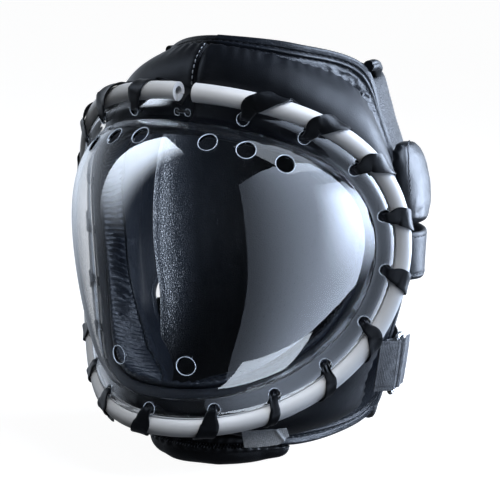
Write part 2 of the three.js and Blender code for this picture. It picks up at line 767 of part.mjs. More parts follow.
// Padded oblong over an ear, flat against the head side
function earPad(hand) {
  const pad = new THREE.SphereGeometry(1, EAR_SIDES, EAR_RINGS);
  const at = pad.getAttribute('position');
  const squared = (value) => Math.sign(value) * Math.abs(value) ** EAR_SQUARENESS;
  for (let i = 0; i < at.count; i += 1) {
    at.setXYZ(i, Math.max(at.getX(i), -EAR_FLAT), squared(at.getY(i)), squared(at.getZ(i)));
  }
  pad.scale(EAR.thick, EAR.halfDepth, EAR.halfHeight);
  pad.rotateY(-radians(EAR_LEAN));
  pad.translate(EAR.side, EAR.depth, EAR.height);
  return handed(pad, hand);
}

// Wearer's left piece, or its mirror image on the right
function handed(geometry, hand) {
  const bare = geometry.clone();
  bare.deleteAttribute('normal');
  bare.deleteAttribute('uv');
  const merged = mergeVertices(bare, 1e-4);
  merged.scale(hand, 1, 1);
  return outward(merged);
}

// Upright band along a plan route
function plainBand(route, band, hand) {
  const points = route.map((spot) => new THREE.Vector3(spot.side, spot.depth, band.height));
  const curve = new THREE.CatmullRomCurve3(points, false, 'centripetal');
  const up = new THREE.Vector3(0, 0, 1);
  const outlines = [];
  for (let i = 0; i <= band.steps; i += 1) {
    const share = i / band.steps;
    const thick = curve.getTangent(share).cross(up).normalize();
    outlines.push(bandOutline(curve.getPoint(share), up, thick, band.width, band.thick));
  }
  return handed(leaned(skin(outlines, false), band.lean), hand);
}

// Piece by the jaw, leaning out at the top with the base
function leaned(geometry, lean) {
  geometry.translate(-FRONT_BAR.side, 0, -WEB.height);
  geometry.rotateY(radians(lean));
  return geometry.translate(FRONT_BAR.side, 0, WEB.height);
}

// Wire bent into an upright rectangle
function strapLoop(hand) {
  const half = WIRE_REACH / 2 - WIRE_CORNER;
  const corners = [
    { bar: FRONT_BAR, end: 1, start: 180 },
    { bar: REAR_BAR, end: 1, start: 90 },
    { bar: REAR_BAR, end: -1, start: 0 },
    { bar: FRONT_BAR, end: -1, start: -90 },
  ];
  const outlines = [];
  const flat = new THREE.Vector3(1, 0, 0);
  for (const { bar, end, start } of corners) {
    const inset = bar === FRONT_BAR ? WIRE_CORNER : -WIRE_CORNER;
    const pivot = new THREE.Vector3(bar.side, bar.depth + inset, WEB.height + end * half);
    for (const turn of [0, 45, 90]) {
      const angle = radians(start - turn);
      const out = new THREE.Vector3(0, Math.cos(angle), Math.sin(angle));
      const centre = pivot.clone().addScaledVector(out, WIRE_CORNER);
      outlines.push(roundOutline(centre, out, flat, WIRE_RADIUS, WIRE_SIDES));
    }
  }
  return handed(leaned(skin(outlines, true), WEB.lean), hand);
}

// Woven tab beside the hose
function laceTab(hand) {
  const outlines = [];
  for (let i = 0; i <= TAB_STEPS; i += 1) {
    const frame = rimFrame(radians(THREE.MathUtils.lerp(TAB.from, TAB.to, i / TAB_STEPS)));
    const centre = atRim(frame, (TAB.near + TAB.far) / 2, TAB.out);
    outlines.push(bandOutline(centre, frame.inward, frame.out, TAB.near - TAB.far, TAB.thick));
  }
  return handed(skin(outlines, false), hand);
}

// Rolled leather loop at the crown
function crownLoop(hand) {
  const points = CROWN_ROLL_ROUTE.map((spot) => new THREE.Vector3(spot.side, spot.depth, spot.height));
  const round = new THREE.Shape().absarc(0, 0, CROWN_ROLL_RADIUS, 0, 2 * Math.PI, false);
  const path = new THREE.CatmullRomCurve3(points, false, 'centripetal');
  const options = { steps: CROWN_ROLL_STEPS, curveSegments: CROWN_ROLL_SEGMENTS, extrudePath: path };
  return handed(new THREE.ExtrudeGeometry(round, options), hand);
}

addPiece('face_shield', faceShield(), { color: 0xdfe6ec, roughness: 0.05, metalness: 0 });
addPiece('rim_tube', rimTube(), { color: 0xc3c9cf, roughness: 0.4, metalness: 0 });
addPiece('tube_tie', tubeTie(), { color: 0x15181c, roughness: 0.7, metalness: 0 });
addPiece('rim_lace', rimLace(), { color: 0x14171b, roughness: 0.45, metalness: 0 });
addPiece('front_pad', frontPad(), LEATHER);
addPiece('front_shell', frontShell(), LEATHER);
addPiece('chin_pad', chinPad(), LEATHER);
addPiece('rear_pad', rearPad(), LEATHER);
for (const { name, hand } of [{ name: 'left', hand: 1 }, { name: 'right', hand: -1 }]) {
  addPiece(`ear_pad_${name}`, earPad(hand), LEATHER);
  addPiece(`upper_strap_${name}`, plainBand(UPPER_STRAP_ROUTE, UPPER_STRAP, hand), LEATHER);
  addPiece(`lower_strap_${name}`, plainBand(LOWER_STRAP_ROUTE, WEB, hand), WEBBING);
  addPiece(`neck_strap_${name}`, plainBand(NECK_STRAP_ROUTE, WEB, hand), WEBBING);
  addPiece(`strap_loop_${name}`, strapLoop(hand), { color: 0xb9bcc0, roughness: 0.25, metalness: 1 });
  addPiece(`lace_tab_${name}`, laceTab(hand), { color: 0xb4b8ba, roughness: 0.9, metalness: 0 });
  addPiece(`crown_loop_${name}`, crownLoop(hand), LEATHER);
}

// The origin lies on the table, under the middle of the guard
const box = new THREE.Box3().setFromObject(group);
const middle = box.getCenter(new THREE.Vector3());
for (const mesh of group.children) {
  mesh.position.set(0, -middle.y, -box.min.z);
}

export default group;
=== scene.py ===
# Karate head guard: a padded leather guard with a clear domed shield laced to its front.
# Sizes are millimetres in the guard's own frame until they go into a mesh, which is in metres.
import math

import bpy
import numpy as np
from mathutils import Matrix, Vector, noise
from mathutils.geometry import delaunay_2d_cdt


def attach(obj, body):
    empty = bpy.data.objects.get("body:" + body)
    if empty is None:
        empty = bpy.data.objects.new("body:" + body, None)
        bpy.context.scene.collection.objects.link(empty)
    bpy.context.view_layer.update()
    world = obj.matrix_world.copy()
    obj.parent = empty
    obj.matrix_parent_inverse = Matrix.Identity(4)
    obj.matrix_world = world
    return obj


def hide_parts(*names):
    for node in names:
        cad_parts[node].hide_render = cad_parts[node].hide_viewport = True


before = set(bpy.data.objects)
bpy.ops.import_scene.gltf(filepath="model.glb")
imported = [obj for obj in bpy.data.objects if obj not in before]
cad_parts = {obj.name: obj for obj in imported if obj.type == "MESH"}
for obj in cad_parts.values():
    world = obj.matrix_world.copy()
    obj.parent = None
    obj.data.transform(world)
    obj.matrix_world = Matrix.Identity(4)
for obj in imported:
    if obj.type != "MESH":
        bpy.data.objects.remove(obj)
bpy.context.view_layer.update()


# Base of the guard: a leather cowl round the face opening, padded behind the bumper and thin at its rim.
# Two layers of cowhide with foam between them are sewn together and bound at the rim with a folded strip.
# The bumper and the straps are sewn to it, and its lining is gathered round the opening at the cheeks.
LIFT_BACK = -7.9
BASE_TURNS = np.linspace(0, 2 * math.pi, 640, endpoint=False)
OPENING_INSET = 23
OPENING_DEPTH = -8
BUMPER_BEHIND = 9.5
BUMPER_THICK = 14
BUMPER_EDGE = 4
BASE_THICK = 8
BASE_RIM = 3.2
HEAD_MIDDLE = np.array([0, 20, 140.0])
EDGE_TABLE = np.array([
    [0, 0, -58, 259, 0, -49, 263],
    [28, 42, -38, 252, 44, -32, 259],
    [50, 70, -3, 236, 72, 10, 245],
    [68, 88, 3, 205, 79, 21, 217],
    [86, 101, 8, 158, 92, 30, 170],
    [104, 102, 9, 112, 95, 34, 112],
    [124, 91, 6, 68, 86, 34, 68],
    [143, 76, 1, 36, 79, 31, 26],
    [160, 47, -36, 22, 52, -34, 13],
    [170, 24, -62, 24, 27, -54, 22],
    [180, 0, -76, 24, 0, -60, 23],
], float)


def unit(vectors):
    return vectors / np.maximum(np.linalg.norm(vectors, axis=-1, keepdims=True), 1e-9)


def rim_point(turn):
    side = 113.5 * np.sin(turn) + 9.5 * np.sin(2 * turn)
    depth = -56 + 14 * np.cos(turn) - 39.5 * np.cos(2 * turn)
    height = 127 + 106 * np.cos(turn) + 4.5 * np.cos(2 * turn) - 7 * np.cos(3 * turn)
    return np.stack([side, depth, height], -1)


def rim_axes(turn):
    along = unit(rim_point(turn + 1e-3) - rim_point(turn - 1e-3))
    facing = math.radians(55) * rim_point(turn)[..., 0] / 113.5
    rise = np.tan(math.radians(10) * np.cos(turn))
    out = np.stack([np.sin(facing), -np.cos(facing), rise], -1)
    out = unit(out - along * np.sum(out * along, -1, keepdims=True))
    return along, out, np.cross(along, out)


def at_rim(turn, inward, out):
    _, away, inside = rim_axes(turn)
    inward, out = np.asarray(inward, float)[..., None], np.asarray(out, float)[..., None]
    return rim_point(turn) + inside * inward + away * out


def smooth_run(points, shares, closed=False):
    points, shares = np.asarray(points, float), np.asarray(shares, float)
    spans = len(points) if closed else len(points) - 1
    place = np.clip(shares, 0, 1) * spans
    span = np.minimum(place.astype(int), spans - 1)
    rest = (place - span)[:, None]
    if closed:
        a, b, c, d = (points[(span + k) % len(points)] for k in (-1, 0, 1, 2))
    else:
        longer = np.vstack([2 * points[0] - points[1], points, 2 * points[-1] - points[-2]])
        a, b, c, d = (longer[span + k] for k in range(4))
    first, middle, last = (np.linalg.norm(q - p, axis=1, keepdims=True) ** 0.5 for p, q in ((a, b), (b, c), (c, d)))
    leave = ((b - a) / first - (c - a) / (first + middle) + (c - b) / middle) * middle
    reach = ((c - b) / middle - (d - b) / (middle + last) + (d - c) / last) * middle
    return b + leave * rest + (3 * (c - b) - 2 * leave - reach) * rest**2 + (2 * (b - c) + leave + reach) * rest**3


def edge_line(column, turns):
    half = EDGE_TABLE[:, column:column + 3]
    ring = np.vstack([half, half[-2:0:-1] * (-1, 1, 1)])
    stops = np.radians(np.concatenate([EDGE_TABLE[:, 0], 360 - EDGE_TABLE[-2:0:-1, 0], [360]]))
    turns = np.mod(turns, 2 * math.pi)
    i = np.clip(np.searchsorted(stops, turns, side="right") - 1, 0, len(ring) - 1)
    return smooth_run(ring, (i + (turns - stops[i]) / (stops[i + 1] - stops[i])) / len(ring), True)


def step_up(value, low, high):
    share = np.clip((value - low) / (high - low), 0, 1)
    return share * share * (3 - 2 * share)


def sewn_line(turns):
    from_top = np.degrees(np.minimum(np.mod(turns, 2 * math.pi), 2 * math.pi - np.mod(turns, 2 * math.pi)))
    jaw = (step_up(from_top, 130, 145) * (1 - step_up(from_top, 163, 174)))[:, None]
    tucked = np.exp(-((np.degrees(np.mod(turns, 2 * math.pi)) - 329) / 15) ** 2)[:, None] * (4, 0, 0)
    return edge_line(1, turns) + (edge_line(4, turns) - edge_line(1, turns)) * 0.45 * jaw + tucked


def bound_rim(turns):
    way_round = np.degrees(np.mod(turns, 2 * math.pi))
    slumped = np.exp(-((way_round - 322) / 22) ** 2)[:, None]
    pulled_in = np.exp(-((way_round - 238.5) / 7) ** 4)[:, None]
    return edge_line(4, turns) + slumped * (0, 4.0, -7.0) + pulled_in * (0, -13.5, 0)


def base_face(turns, shares):
    opening = at_rim(turns, OPENING_INSET, OPENING_DEPTH)
    under = at_rim(turns, 0, -BUMPER_BEHIND - BUMPER_THICK)
    seam = sewn_line(turns)
    seam = seam + unit(HEAD_MIDDLE - seam) * BUMPER_EDGE
    rim = bound_rim(turns)
    return np.array([smooth_run(stops, shares) for stops in zip(opening, under, seam, rim)])


def ring_normals(columns):
    along = np.roll(columns, -1, 0) - np.roll(columns, 1, 0)
    return unit(np.cross(along, np.gradient(columns, axis=1)))


def run_length(line):
    return np.concatenate([[0], np.cumsum(np.linalg.norm(np.diff(line, axis=0), axis=1))])


def lumps(points, size, seed=0):
    shift = Vector((seed * 17.3, seed * 5.1, seed * 9.7))
    flat = np.reshape(points, (-1, 3)) / size
    return np.array([noise.noise(Vector(p) + shift) for p in flat]).reshape(np.shape(points)[:-1])


def half_round(start, end, way, count):
    middle, arm = (start + end) / 2, (start - end) / 2
    reach = np.linalg.norm(arm, axis=-1, keepdims=True)
    turns = np.linspace(0, math.pi, count + 2)[1:-1]
    return np.stack([middle + arm * math.cos(a) + way * reach * math.sin(a) for a in turns], 1)


def loop_mesh(name, loops, closed=False):
    runs, count = loops.shape[:2]
    i, k = np.meshgrid(np.arange(runs if closed else runs - 1), np.arange(count), indexing="ij")
    there, beside = (i + 1) % runs, (k + 1) % count
    quads = np.stack([i * count + k, i * count + beside, there * count + beside, there * count + k], -1).reshape(-1, 4)
    faces = quads.tolist()
    if not closed:
        faces += [list(range(count))[::-1], list(range((runs - 1) * count, runs * count))]
    points = (loops.reshape(-1, 3) + (0, LIFT_BACK, 0)) / 1000
    mesh = bpy.data.meshes.new(name)
    mesh.from_pydata(points.tolist(), [], faces)
    mesh.update()
    corners = points[quads]
    volume = np.sum(np.cross(corners[:, 0], corners[:, 1]) * corners[:, 2])
    volume += np.sum(np.cross(corners[:, 0], corners[:, 2]) * corners[:, 3])
    if volume < 0:
        mesh.flip_normals()
    mesh.shade_smooth()
    mesh.set_sharp_from_angle(angle=math.radians(62))
    return mesh


def fit_piece(mesh, material, replaced=()):
    piece = bpy.data.objects.new(mesh.name, mesh)
    bpy.context.scene.collection.objects.link(piece)
    mesh.materials.clear()
    mesh.materials.append(material)
    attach(piece, "root")
    if replaced:
        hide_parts(*replaced)
    return piece


def new_finish(name):
    finish = bpy.data.materials.new(name)
    finish.use_nodes = True
    tree = finish.node_tree
    return finish, tree, tree.nodes["Principled BSDF"]


def add_node(tree, kind, settings=None, **inputs):
    made = tree.nodes.new(kind)
    for key, value in (settings or {}).items():
        setattr(made, key, value)
    for key, value in inputs.items():
        socket = made.inputs[key.replace("_", " ")]
        if isinstance(value, bpy.types.NodeSocket):
            tree.links.new(value, socket)
        else:
            socket.default_value = value
    return made


def cowhide(name, dark, light, shine, pore, pore_depth, crease_depth):
    finish, tree, surface = new_finish(name)
    where = add_node(tree, "ShaderNodeTexCoord").outputs["Object"]
    patches = add_node(tree, "ShaderNodeTexNoise", Vector=where, Scale=26.0, Detail=4.0, Roughness=0.6)
    tint = add_node(tree, "ShaderNodeMix", {"data_type": "RGBA"}, Factor=patches.outputs["Fac"])
    tint.inputs["A"].default_value = (*dark, 1)
    tint.inputs["B"].default_value = (*light, 1)
    tree.links.new(tint.outputs["Result"], surface.inputs["Base Color"])
    rub = add_node(tree, "ShaderNodeTexNoise", Vector=where, Scale=70.0, Detail=6.0, Roughness=0.65)
    dull = add_node(tree, "ShaderNodeMapRange", Value=rub.outputs["Fac"])
    dull.inputs["From Min"].default_value, dull.inputs["From Max"].default_value = 0.3, 0.7
    dull.inputs["To Min"].default_value, dull.inputs["To Max"].default_value = shine - 0.06, shine + 0.07
    tree.links.new(dull.outputs["Result"], surface.inputs["Roughness"])
    pores = add_node(tree, "ShaderNodeTexVoronoi", {"feature": "DISTANCE_TO_EDGE"}, Vector=where, Scale=1000 / pore)
    skin = add_node(tree, "ShaderNodeMapRange", Value=pores.outputs["Distance"])
    skin.inputs["From Max"].default_value = 0.22
    creases = add_node(tree, "ShaderNodeTexNoise", Vector=where, Scale=190.0, Detail=5.0, Roughness=0.6)
    low = add_node(tree, "ShaderNodeBump", Height=creases.outputs["Fac"], Strength=1.0, Distance=crease_depth / 1000)
    fine = add_node(tree, "ShaderNodeBump", Height=skin.outputs["Result"], Strength=1.0, Distance=pore_depth / 1000)
    tree.links.new(low.outputs["Normal"], fine.inputs["Normal"])
    tree.links.new(fine.outputs["Normal"], surface.inputs["Normal"])
    surface.inputs["Specular IOR Level"].default_value = 0.38
    return finish


def thread_finish(name, dark, light):
    finish, tree, surface = new_finish(name)
    where = add_node(tree, "ShaderNodeTexCoord").outputs["Object"]
    ply = add_node(tree, "ShaderNodeTexNoise", Vector=where, Scale=900.0, Detail=2.0)
    tint = add_node(tree, "ShaderNodeMix", {"data_type": "RGBA"}, Factor=ply.outputs["Fac"])
    tint.inputs["A"].default_value = (*dark, 1)
    tint.inputs["B"].default_value = (*light, 1)
    tree.links.new(tint.outputs["Result"], surface.inputs["Base Color"])
    bump = add_node(tree, "ShaderNodeBump", Height=ply.outputs["Fac"], Strength=0.6, Distance=0.0002)
    tree.links.new(bump.outputs["Normal"], surface.inputs["Normal"])
    surface.inputs["Roughness"].default_value = 0.62
    return finish


def tube_loops(line, radius, sides, closed=False, first=None):
    line = np.asarray(line, float)
    if closed:
        way = unit(np.roll(line, -1, 0) - np.roll(line, 1, 0))
    else:
        way = unit(np.gradient(line, axis=0))
    across = np.zeros_like(line)
    arm = np.array([0.3, 0.5, 0.81]) if first is None else np.asarray(first, float)
    for i in range(len(line)):
        arm = unit(arm - way[i] * (arm @ way[i]))
        across[i] = arm
    other = np.cross(way, across)
    turns = np.linspace(0, 2 * math.pi, sides, endpoint=False)
    spread = across[:, None] * np.cos(turns)[None, :, None] + other[:, None] * np.sin(turns)[None, :, None]
    return line[:, None] + spread * np.broadcast_to(np.asarray(radius, float), len(line))[:, None, None]


def stitch_mesh(name, line, outs, pitch, length, radius):
    run = run_length(line)
    starts = np.arange(pitch * 0.4, run[-1] - length, pitch)
    shares = np.array([0, 0.14, 0.5, 0.86, 1])
    swell = np.array([0.3, 0.85, 1, 0.85, 0.3]) * radius
    lift = np.array([-0.5, 0.25, 0.5, 0.25, -0.5]) * radius
    at = starts[:, None] + shares * length
    pick = lambda values: np.stack([np.interp(at, run, values[:, k]) for k in range(3)], -1)
    away = unit(pick(np.asarray(outs, float)))
    centres = pick(np.asarray(line, float)) + away * lift[None, :, None]
    way = unit(np.gradient(centres, axis=1))
    across = unit(np.cross(way, away))
    away = np.cross(across, way)
    turns = np.linspace(0, 2 * math.pi, 6, endpoint=False)
    ring = across[:, :, None] * np.cos(turns)[:, None] + away[:, :, None] * np.sin(turns)[:, None]
    points = (centres[:, :, None] + ring * swell[None, :, None, None]).reshape(-1, 3)
    faces = []
    for s in range(len(starts)):
        start = s * 30
        for r in range(4):
            for k in range(6):
                a, b = start + r * 6 + k, start + r * 6 + (k + 1) % 6
                faces.append((a, b, b + 6, a + 6))
        faces.append([start + k for k in range(6)][::-1])
        faces.append([start + 24 + k for k in range(6)])
    mesh = bpy.data.meshes.new(name)
    mesh.from_pydata(((points + (0, LIFT_BACK, 0)) / 1000).tolist(), [], faces)
    mesh.update()
    mesh.shade_smooth()
    return mesh


base_shares = np.concatenate([np.linspace(0, 0.62, 26), np.linspace(0.64, 0.9, 20), np.linspace(0.91, 1, 16)])
base_outer = base_face(BASE_TURNS, base_shares)
base_away = ring_normals(base_outer)
base_inner = base_outer - base_away * (BASE_RIM + (BASE_THICK - BASE_RIM) * np.sin(base_shares * math.pi)[None, :, None] ** 0.5)
from_rim = np.array([run_length(column[::-1])[::-1] for column in base_outer])
from_opening = np.array([run_length(column) for column in base_inner])
beading = 0.75 * np.exp(-((from_rim - 5.4) / 1.0) ** 2) - 0.9 * np.exp(-((from_rim - 3.4) / 0.6) ** 2)
beading -= 0.8 * np.exp(-((from_rim - 7.3) / 0.7) ** 2)
temple = np.degrees(np.minimum(BASE_TURNS, 2 * math.pi - BASE_TURNS))[:, None]
worn = step_up(temple, 34, 47) * (1 - step_up(temple, 58, 74)) * step_up(from_rim, 7, 10)
crinkles = 1 - 2.4 * np.abs(lumps(base_outer, 5.6, 3)) + 0.6 * lumps(base_outer, 3.0, 4)
settle = 0.35 * lumps(base_outer, 22, 5)
base_outer = base_outer + base_away * (beading + worn * crinkles * 1.25 + settle)[..., None]
cheek_pad = 13 * step_up(temple, 96, 136) * (1 - 0.75 * step_up(temple, 150, 178))
base_inner = base_inner - base_away * (cheek_pad * np.exp(-((from_opening - 22) / 11) ** 2))[..., None]
ring_run = np.concatenate([[0], np.cumsum(np.linalg.norm(np.diff(base_inner[:, 8], axis=0), axis=1))])[:, None]
cheek = step_up(temple, 40, 75) * (1 - 0.6 * step_up(temple, 165, 180))
gather = np.sin(ring_run / 4.3 * 2 * math.pi + 3.0 * lumps(base_inner, 14, 7)) * np.exp(-((from_opening - 8) / 8) ** 4)
gather = gather * (0.25 + 0.75 * cheek) * 1.5
base_inner = base_inner - base_away * (gather + 0.4 * lumps(base_inner, 26, 8) - 0.5 * np.exp(-((from_rim - 6) / 0.8) ** 2))[..., None]
rim_way = unit(base_outer[:, -1] - base_outer[:, -4])
opening_way = unit(base_outer[:, 0] - base_outer[:, 3])
base_loops = np.concatenate([
    base_outer,
    half_round(base_outer[:, -1], base_inner[:, -1], rim_way, 6),
    base_inner[:, ::-1],
    half_round(base_inner[:, 0], base_outer[:, 0], opening_way, 6),
], 1)
base_hide = cowhide("black_cowhide", (0.0020, 0.0029, 0.0046), (0.0036, 0.0050, 0.0078), 0.38, 1.3, 0.09, 0.42)
base = fit_piece(loop_mesh("front_base", base_loops, True), base_hide, ["front_shell"])
rim_thread = thread_finish("dark_rim_thread", (0.02, 0.022, 0.026), (0.05, 0.054, 0.06))
for name, inset in (("rim_stitches_outer", 3.5), ("rim_stitches_inner", 7.4)):
    nearest = np.argmin(np.abs(from_rim - inset), 1)
    row = base_outer[np.arange(len(BASE_TURNS)), nearest]
    row_out = base_away[np.arange(len(BASE_TURNS)), nearest]
    fit_piece(stitch_mesh(name, np.vstack([row, row[:1]]), np.vstack([row_out, row_out[:1]]), 4.2, 3.2, 0.42),
              rim_thread)
seam_at = np.argmin(np.abs(from_opening - 16.5), 1)
lining_seam = (base_inner - base_away * 0.5)[np.arange(len(BASE_TURNS)), seam_at]
for _ in range(16):
    lining_seam = (np.roll(lining_seam, 1, 0) + 2 * lining_seam + np.roll(lining_seam, -1, 0)) / 4
piping_hide = cowhide("piping_hide", (0.0057, 0.0078, 0.0112), (0.0114, 0.0152, 0.0210), 0.3, 1.2, 0.03, 0.08)
fit_piece(loop_mesh("lining_piping", tube_loops(lining_seam, 0.85, 8, True), True), piping_hide)


# Bumper: the smooth black ring that takes the blows, round the whole face opening.
# Dense foam is covered with one tight cowhide skin, joined by a stitched seam at the forehead.
# Its outer edge is sewn down to the base, where the skin puckers a little between the stitches.
BUMPER_LIP = [(20.5, -4.6), (17.2, -1.5), (13.6, -9.2), (0, -9.5)]
SECTION_POINTS = 150
RIM_TURNS = np.linspace(0, 2 * math.pi, 360, endpoint=False)


def even_section(loop, count, soft):
    ring = np.vstack([loop, loop[:1]])
    run = run_length(ring)
    at = np.linspace(0, run[-1], count, endpoint=False)
    even = np.stack([np.interp(at, run, ring[:, k]) for k in range(3)], -1)
    reach = int(math.ceil(3 * soft))
    weights = np.exp(-0.5 * (np.arange(-reach, reach + 1) / soft) ** 2)
    weights /= weights.sum()
    return sum(w * np.roll(even, k, 0) for k, w in zip(range(-reach, reach + 1), weights))


def bumper_roll(turns, shares):
    under = at_rim(turns, *BUMPER_LIP[-1])
    edge = sewn_line(turns)
    _, out, _ = rim_axes(turns)
    crest = under + (edge - under) * 0.6 + out * 0.4 * np.linalg.norm(edge - under, axis=1, keepdims=True)
    s = np.asarray(shares)[None, :, None]
    return under[:, None] * (1 - s) ** 2 + crest[:, None] * 2 * s * (1 - s) + edge[:, None] * s**2


lip = np.stack([at_rim(RIM_TURNS, *spot) for spot in BUMPER_LIP[:-1]], 1)
roll = bumper_roll(RIM_TURNS, np.linspace(0, 1, 60))
back_face = base_face(RIM_TURNS, np.linspace(0, 2 / 3, 30))
back_face = back_face + ring_normals(back_face) * 0.3
bumper_loops = np.array([
    even_section(np.vstack([a, b, c[::-1]]), SECTION_POINTS, 1.7) for a, b, c in zip(lip, roll, back_face)
])
bumper_away = unit(np.cross(np.roll(bumper_loops, -1, 0) - np.roll(bumper_loops, 1, 0),
                            np.roll(bumper_loops, -1, 1) - np.roll(bumper_loops, 1, 1)))
sewn_edge = sewn_line(RIM_TURNS)
from_edge = np.linalg.norm(bumper_loops - sewn_edge[:, None], axis=2)
bumper_run = run_length(sewn_edge)[:, None]
pucker = np.sin(bumper_run / 7.6 * 2 * math.pi + 2.6 * lumps(bumper_loops, 24, 11)) * np.exp(-(from_edge / 9) ** 2)
outside = step_up(np.sum((bumper_loops - HEAD_MIDDLE) * bumper_away, -1), 0, 20)
from_centre = np.where(bumper_loops[..., 2] > 150, bumper_loops[..., 0], 99)
seam_dip = -1.5 * np.exp(-((from_centre / 1.1) ** 2)) + 0.5 * np.exp(-((np.abs(from_centre) - 4) / 2.5) ** 2)
crown = np.exp(-((np.degrees(RIM_TURNS) - 334) / 13) ** 2)[:, None] * np.exp(-((from_edge - 24) / 17) ** 2) * outside
form = 1.4 * crown + 0.45 * pucker + seam_dip * outside + 0.45 * lumps(bumper_loops, 48, 12) + 0.12 * lumps(bumper_loops, 9, 13)
bumper_loops = bumper_loops + bumper_away * form[..., None]
bumper_hide = cowhide("bumper_cowhide", (0.0021, 0.0031, 0.0052), (0.0032, 0.0046, 0.0076), 0.44, 1.1, 0.03, 0.06)
bumper = fit_piece(loop_mesh("bumper", bumper_loops, True), bumper_hide, ["front_pad"])
seam_thread = thread_finish("pale_seam_thread", (0.36, 0.37, 0.38), (0.62, 0.63, 0.64))
seam_line = bumper_roll(np.array([0.0]), np.linspace(0.1, 0.97, 60))[0] + (-1.9, 0, 0)
seam_away = unit(np.cross(np.array([1.0, 0, 0]), np.gradient(seam_line, axis=0)))
seam_away *= np.sign(seam_away[30] @ (seam_line[30] - HEAD_MIDDLE))
fit_piece(stitch_mesh("forehead_stitches", seam_line + seam_away * 0.25, seam_away, 3.4, 2.3, 0.42),
          seam_thread)


# Chin roll: the padded leather roll under the jaw that the guard stands on.
# Three folded layers of cowhide are wrapped round felt and closed with a coarse overcast seam in front.
CHIN_FOLDS = (14, 52, 92, 128)
chin_shares = np.linspace(-1, 1, 145)
chin_turns = math.radians(80) * chin_shares
across, ahead = np.sin(chin_turns), -np.cos(chin_turns)
drawn_out = 7 * step_up(np.abs(chin_shares), 0.7, 1) * np.sign(chin_shares)
chin_middle = np.stack([39 * across + drawn_out, -20 + 45 * ahead, 0 * across], -1)
chin_out = unit(np.stack([across / 39, ahead / 45, 0 * across], -1))
swell = 0.4 + 0.6 * (1 - np.abs(chin_shares) ** 2.6) ** 0.5
rolls = np.linspace(0, 2 * math.pi, 120, endpoint=False)
chin_loops = chin_middle[:, None] + chin_out[:, None] * (10.4 * swell[:, None] * np.cos(rolls))[..., None]
chin_loops[..., 2] = 9.7 - 1.2 * (1 - swell[:, None]) + 10.9 * swell[:, None] * np.sin(rolls)
outward = unit(chin_out[:, None] * np.cos(rolls)[None, :, None] + np.array([0, 0, 1.0]) * np.sin(rolls)[None, :, None])
lobes = np.zeros_like(chin_loops[..., 0])
around = np.degrees(rolls)[None]
for number, fold in enumerate(CHIN_FOLDS):
    wander = fold + (7 * np.sin(3.1 * chin_shares + fold) + 3 * np.sin(9 * chin_shares + 2 * fold))[:, None]
    lobes -= 1.9 * np.exp(-((around - wander - 8) / 4.5) ** 2) - 1.1 * np.exp(-((around - wander + 9) / 9) ** 2)
chin_run = run_length(chin_middle)[:, None]
drawn = np.sin(chin_run / 5.2 * 2 * math.pi + 3 * lumps(chin_loops, 15, 22)) * np.exp(-((around - 18) / 26) ** 2)
lobes += 0.55 * drawn
chin_loops = chin_loops + outward * (lobes * swell[:, None] + 0.7 * lumps(chin_loops, 11, 21))[..., None]
chin_loops[..., 2] = np.maximum(chin_loops[..., 2], 0)
chin_hide = cowhide("chin_cowhide", (0.0013, 0.0018, 0.0030), (0.0026, 0.0036, 0.0056), 0.44, 1.4, 0.07, 0.22)
chin = fit_piece(loop_mesh("chin_roll", chin_loops), chin_hide, ["chin_pad"])
chin_thread = thread_finish("grey_chin_thread", (0.05, 0.053, 0.058), (0.16, 0.165, 0.175))
overcast = []
overcast_out = []
for number, spot in enumerate(np.arange(6, len(chin_loops) - 6)):
    lean = 4 if number % 2 else 9
    overcast.append(chin_loops[spot, lean])
    overcast_out.append(outward[spot, lean])
overcast = np.array(overcast) + np.array(overcast_out) * 0.45
fit_piece(loop_mesh("chin_overcast", tube_loops(overcast, 0.36, 6)), chin_thread)


# Rear panel: the curved pad behind the head, boxed at its sides and open to the base at the crown and the jaw.
# Foam between two cowhide faces, with sewn channels on the back and a soft coarse-grained lining inside.
REAR_ROWS = np.array([
    [0, 66, 106, 22], [45, 75, 120, 12], [85, 78, 130, 15], [115, 84, 134, 14],
    [150, 87, 134, 17], [180, 83, 126, 16], [205, 74, 114, 13], [244, 63, 97, 10],
], float)
REAR_TURN = math.radians(88)
REAR_ENDS = 0.16
rear_shares = np.linspace(-1 - REAR_ENDS, 1 + REAR_ENDS, 211)
heights = np.linspace(0, 1, 70)
rear_outer, rear_inner = [], []
for share in rear_shares:
    turn = REAR_TURN * np.clip(share, -1, 1)
    past = max(0, abs(share) - 1) / REAR_ENDS
    low = (16.5 + 7.5 * np.sign(share)) * max(0, (min(1, abs(share)) - 0.25) / 0.75) ** 2.7
    high = 244 - 6 * min(1, share**2)
    height = low + (high - low) * heights
    thick = 5 + (9 - 4 * past) * np.sin(heights * math.pi) ** 0.5
    width, reach, front = (np.interp(height, REAR_ROWS[:, 0], REAR_ROWS[:, k]) for k in (1, 2, 3))
    nearing = min(1, max(0, abs(share) - 0.92) / (0.08 + REAR_ENDS))
    rounded = thick - (thick - 2.5) * (1 - math.sqrt(1 - nearing**2))
    for inset, wall in ((0 * thick, rear_outer), (rounded, rear_inner)):
        depth = 38 + (reach - 38 - inset) * math.cos(turn)
        depth = depth + (front + 4 - depth) * past
        wall.append(np.stack([(width - inset) * math.sin(turn), depth, height], -1))
rear_outer, rear_inner = np.array(rear_outer), np.array(rear_inner)
for _ in range(14):
    for wall in (rear_outer, rear_inner):
        wall[:, 1:-1] = (wall[:, :-2] + 2 * wall[:, 1:-1] + wall[:, 2:]) / 4
        wall[1:-1] = (wall[:-2] + 2 * wall[1:-1] + wall[2:]) / 4
rear_loops = np.array([
    even_section(np.vstack([a, b[::-1]]), 170, 1.4) for a, b in zip(rear_outer, rear_inner)
])
rear_away = unit(np.cross(np.gradient(rear_loops, axis=0), np.roll(rear_loops, -1, 1) - np.roll(rear_loops, 1, 1)))
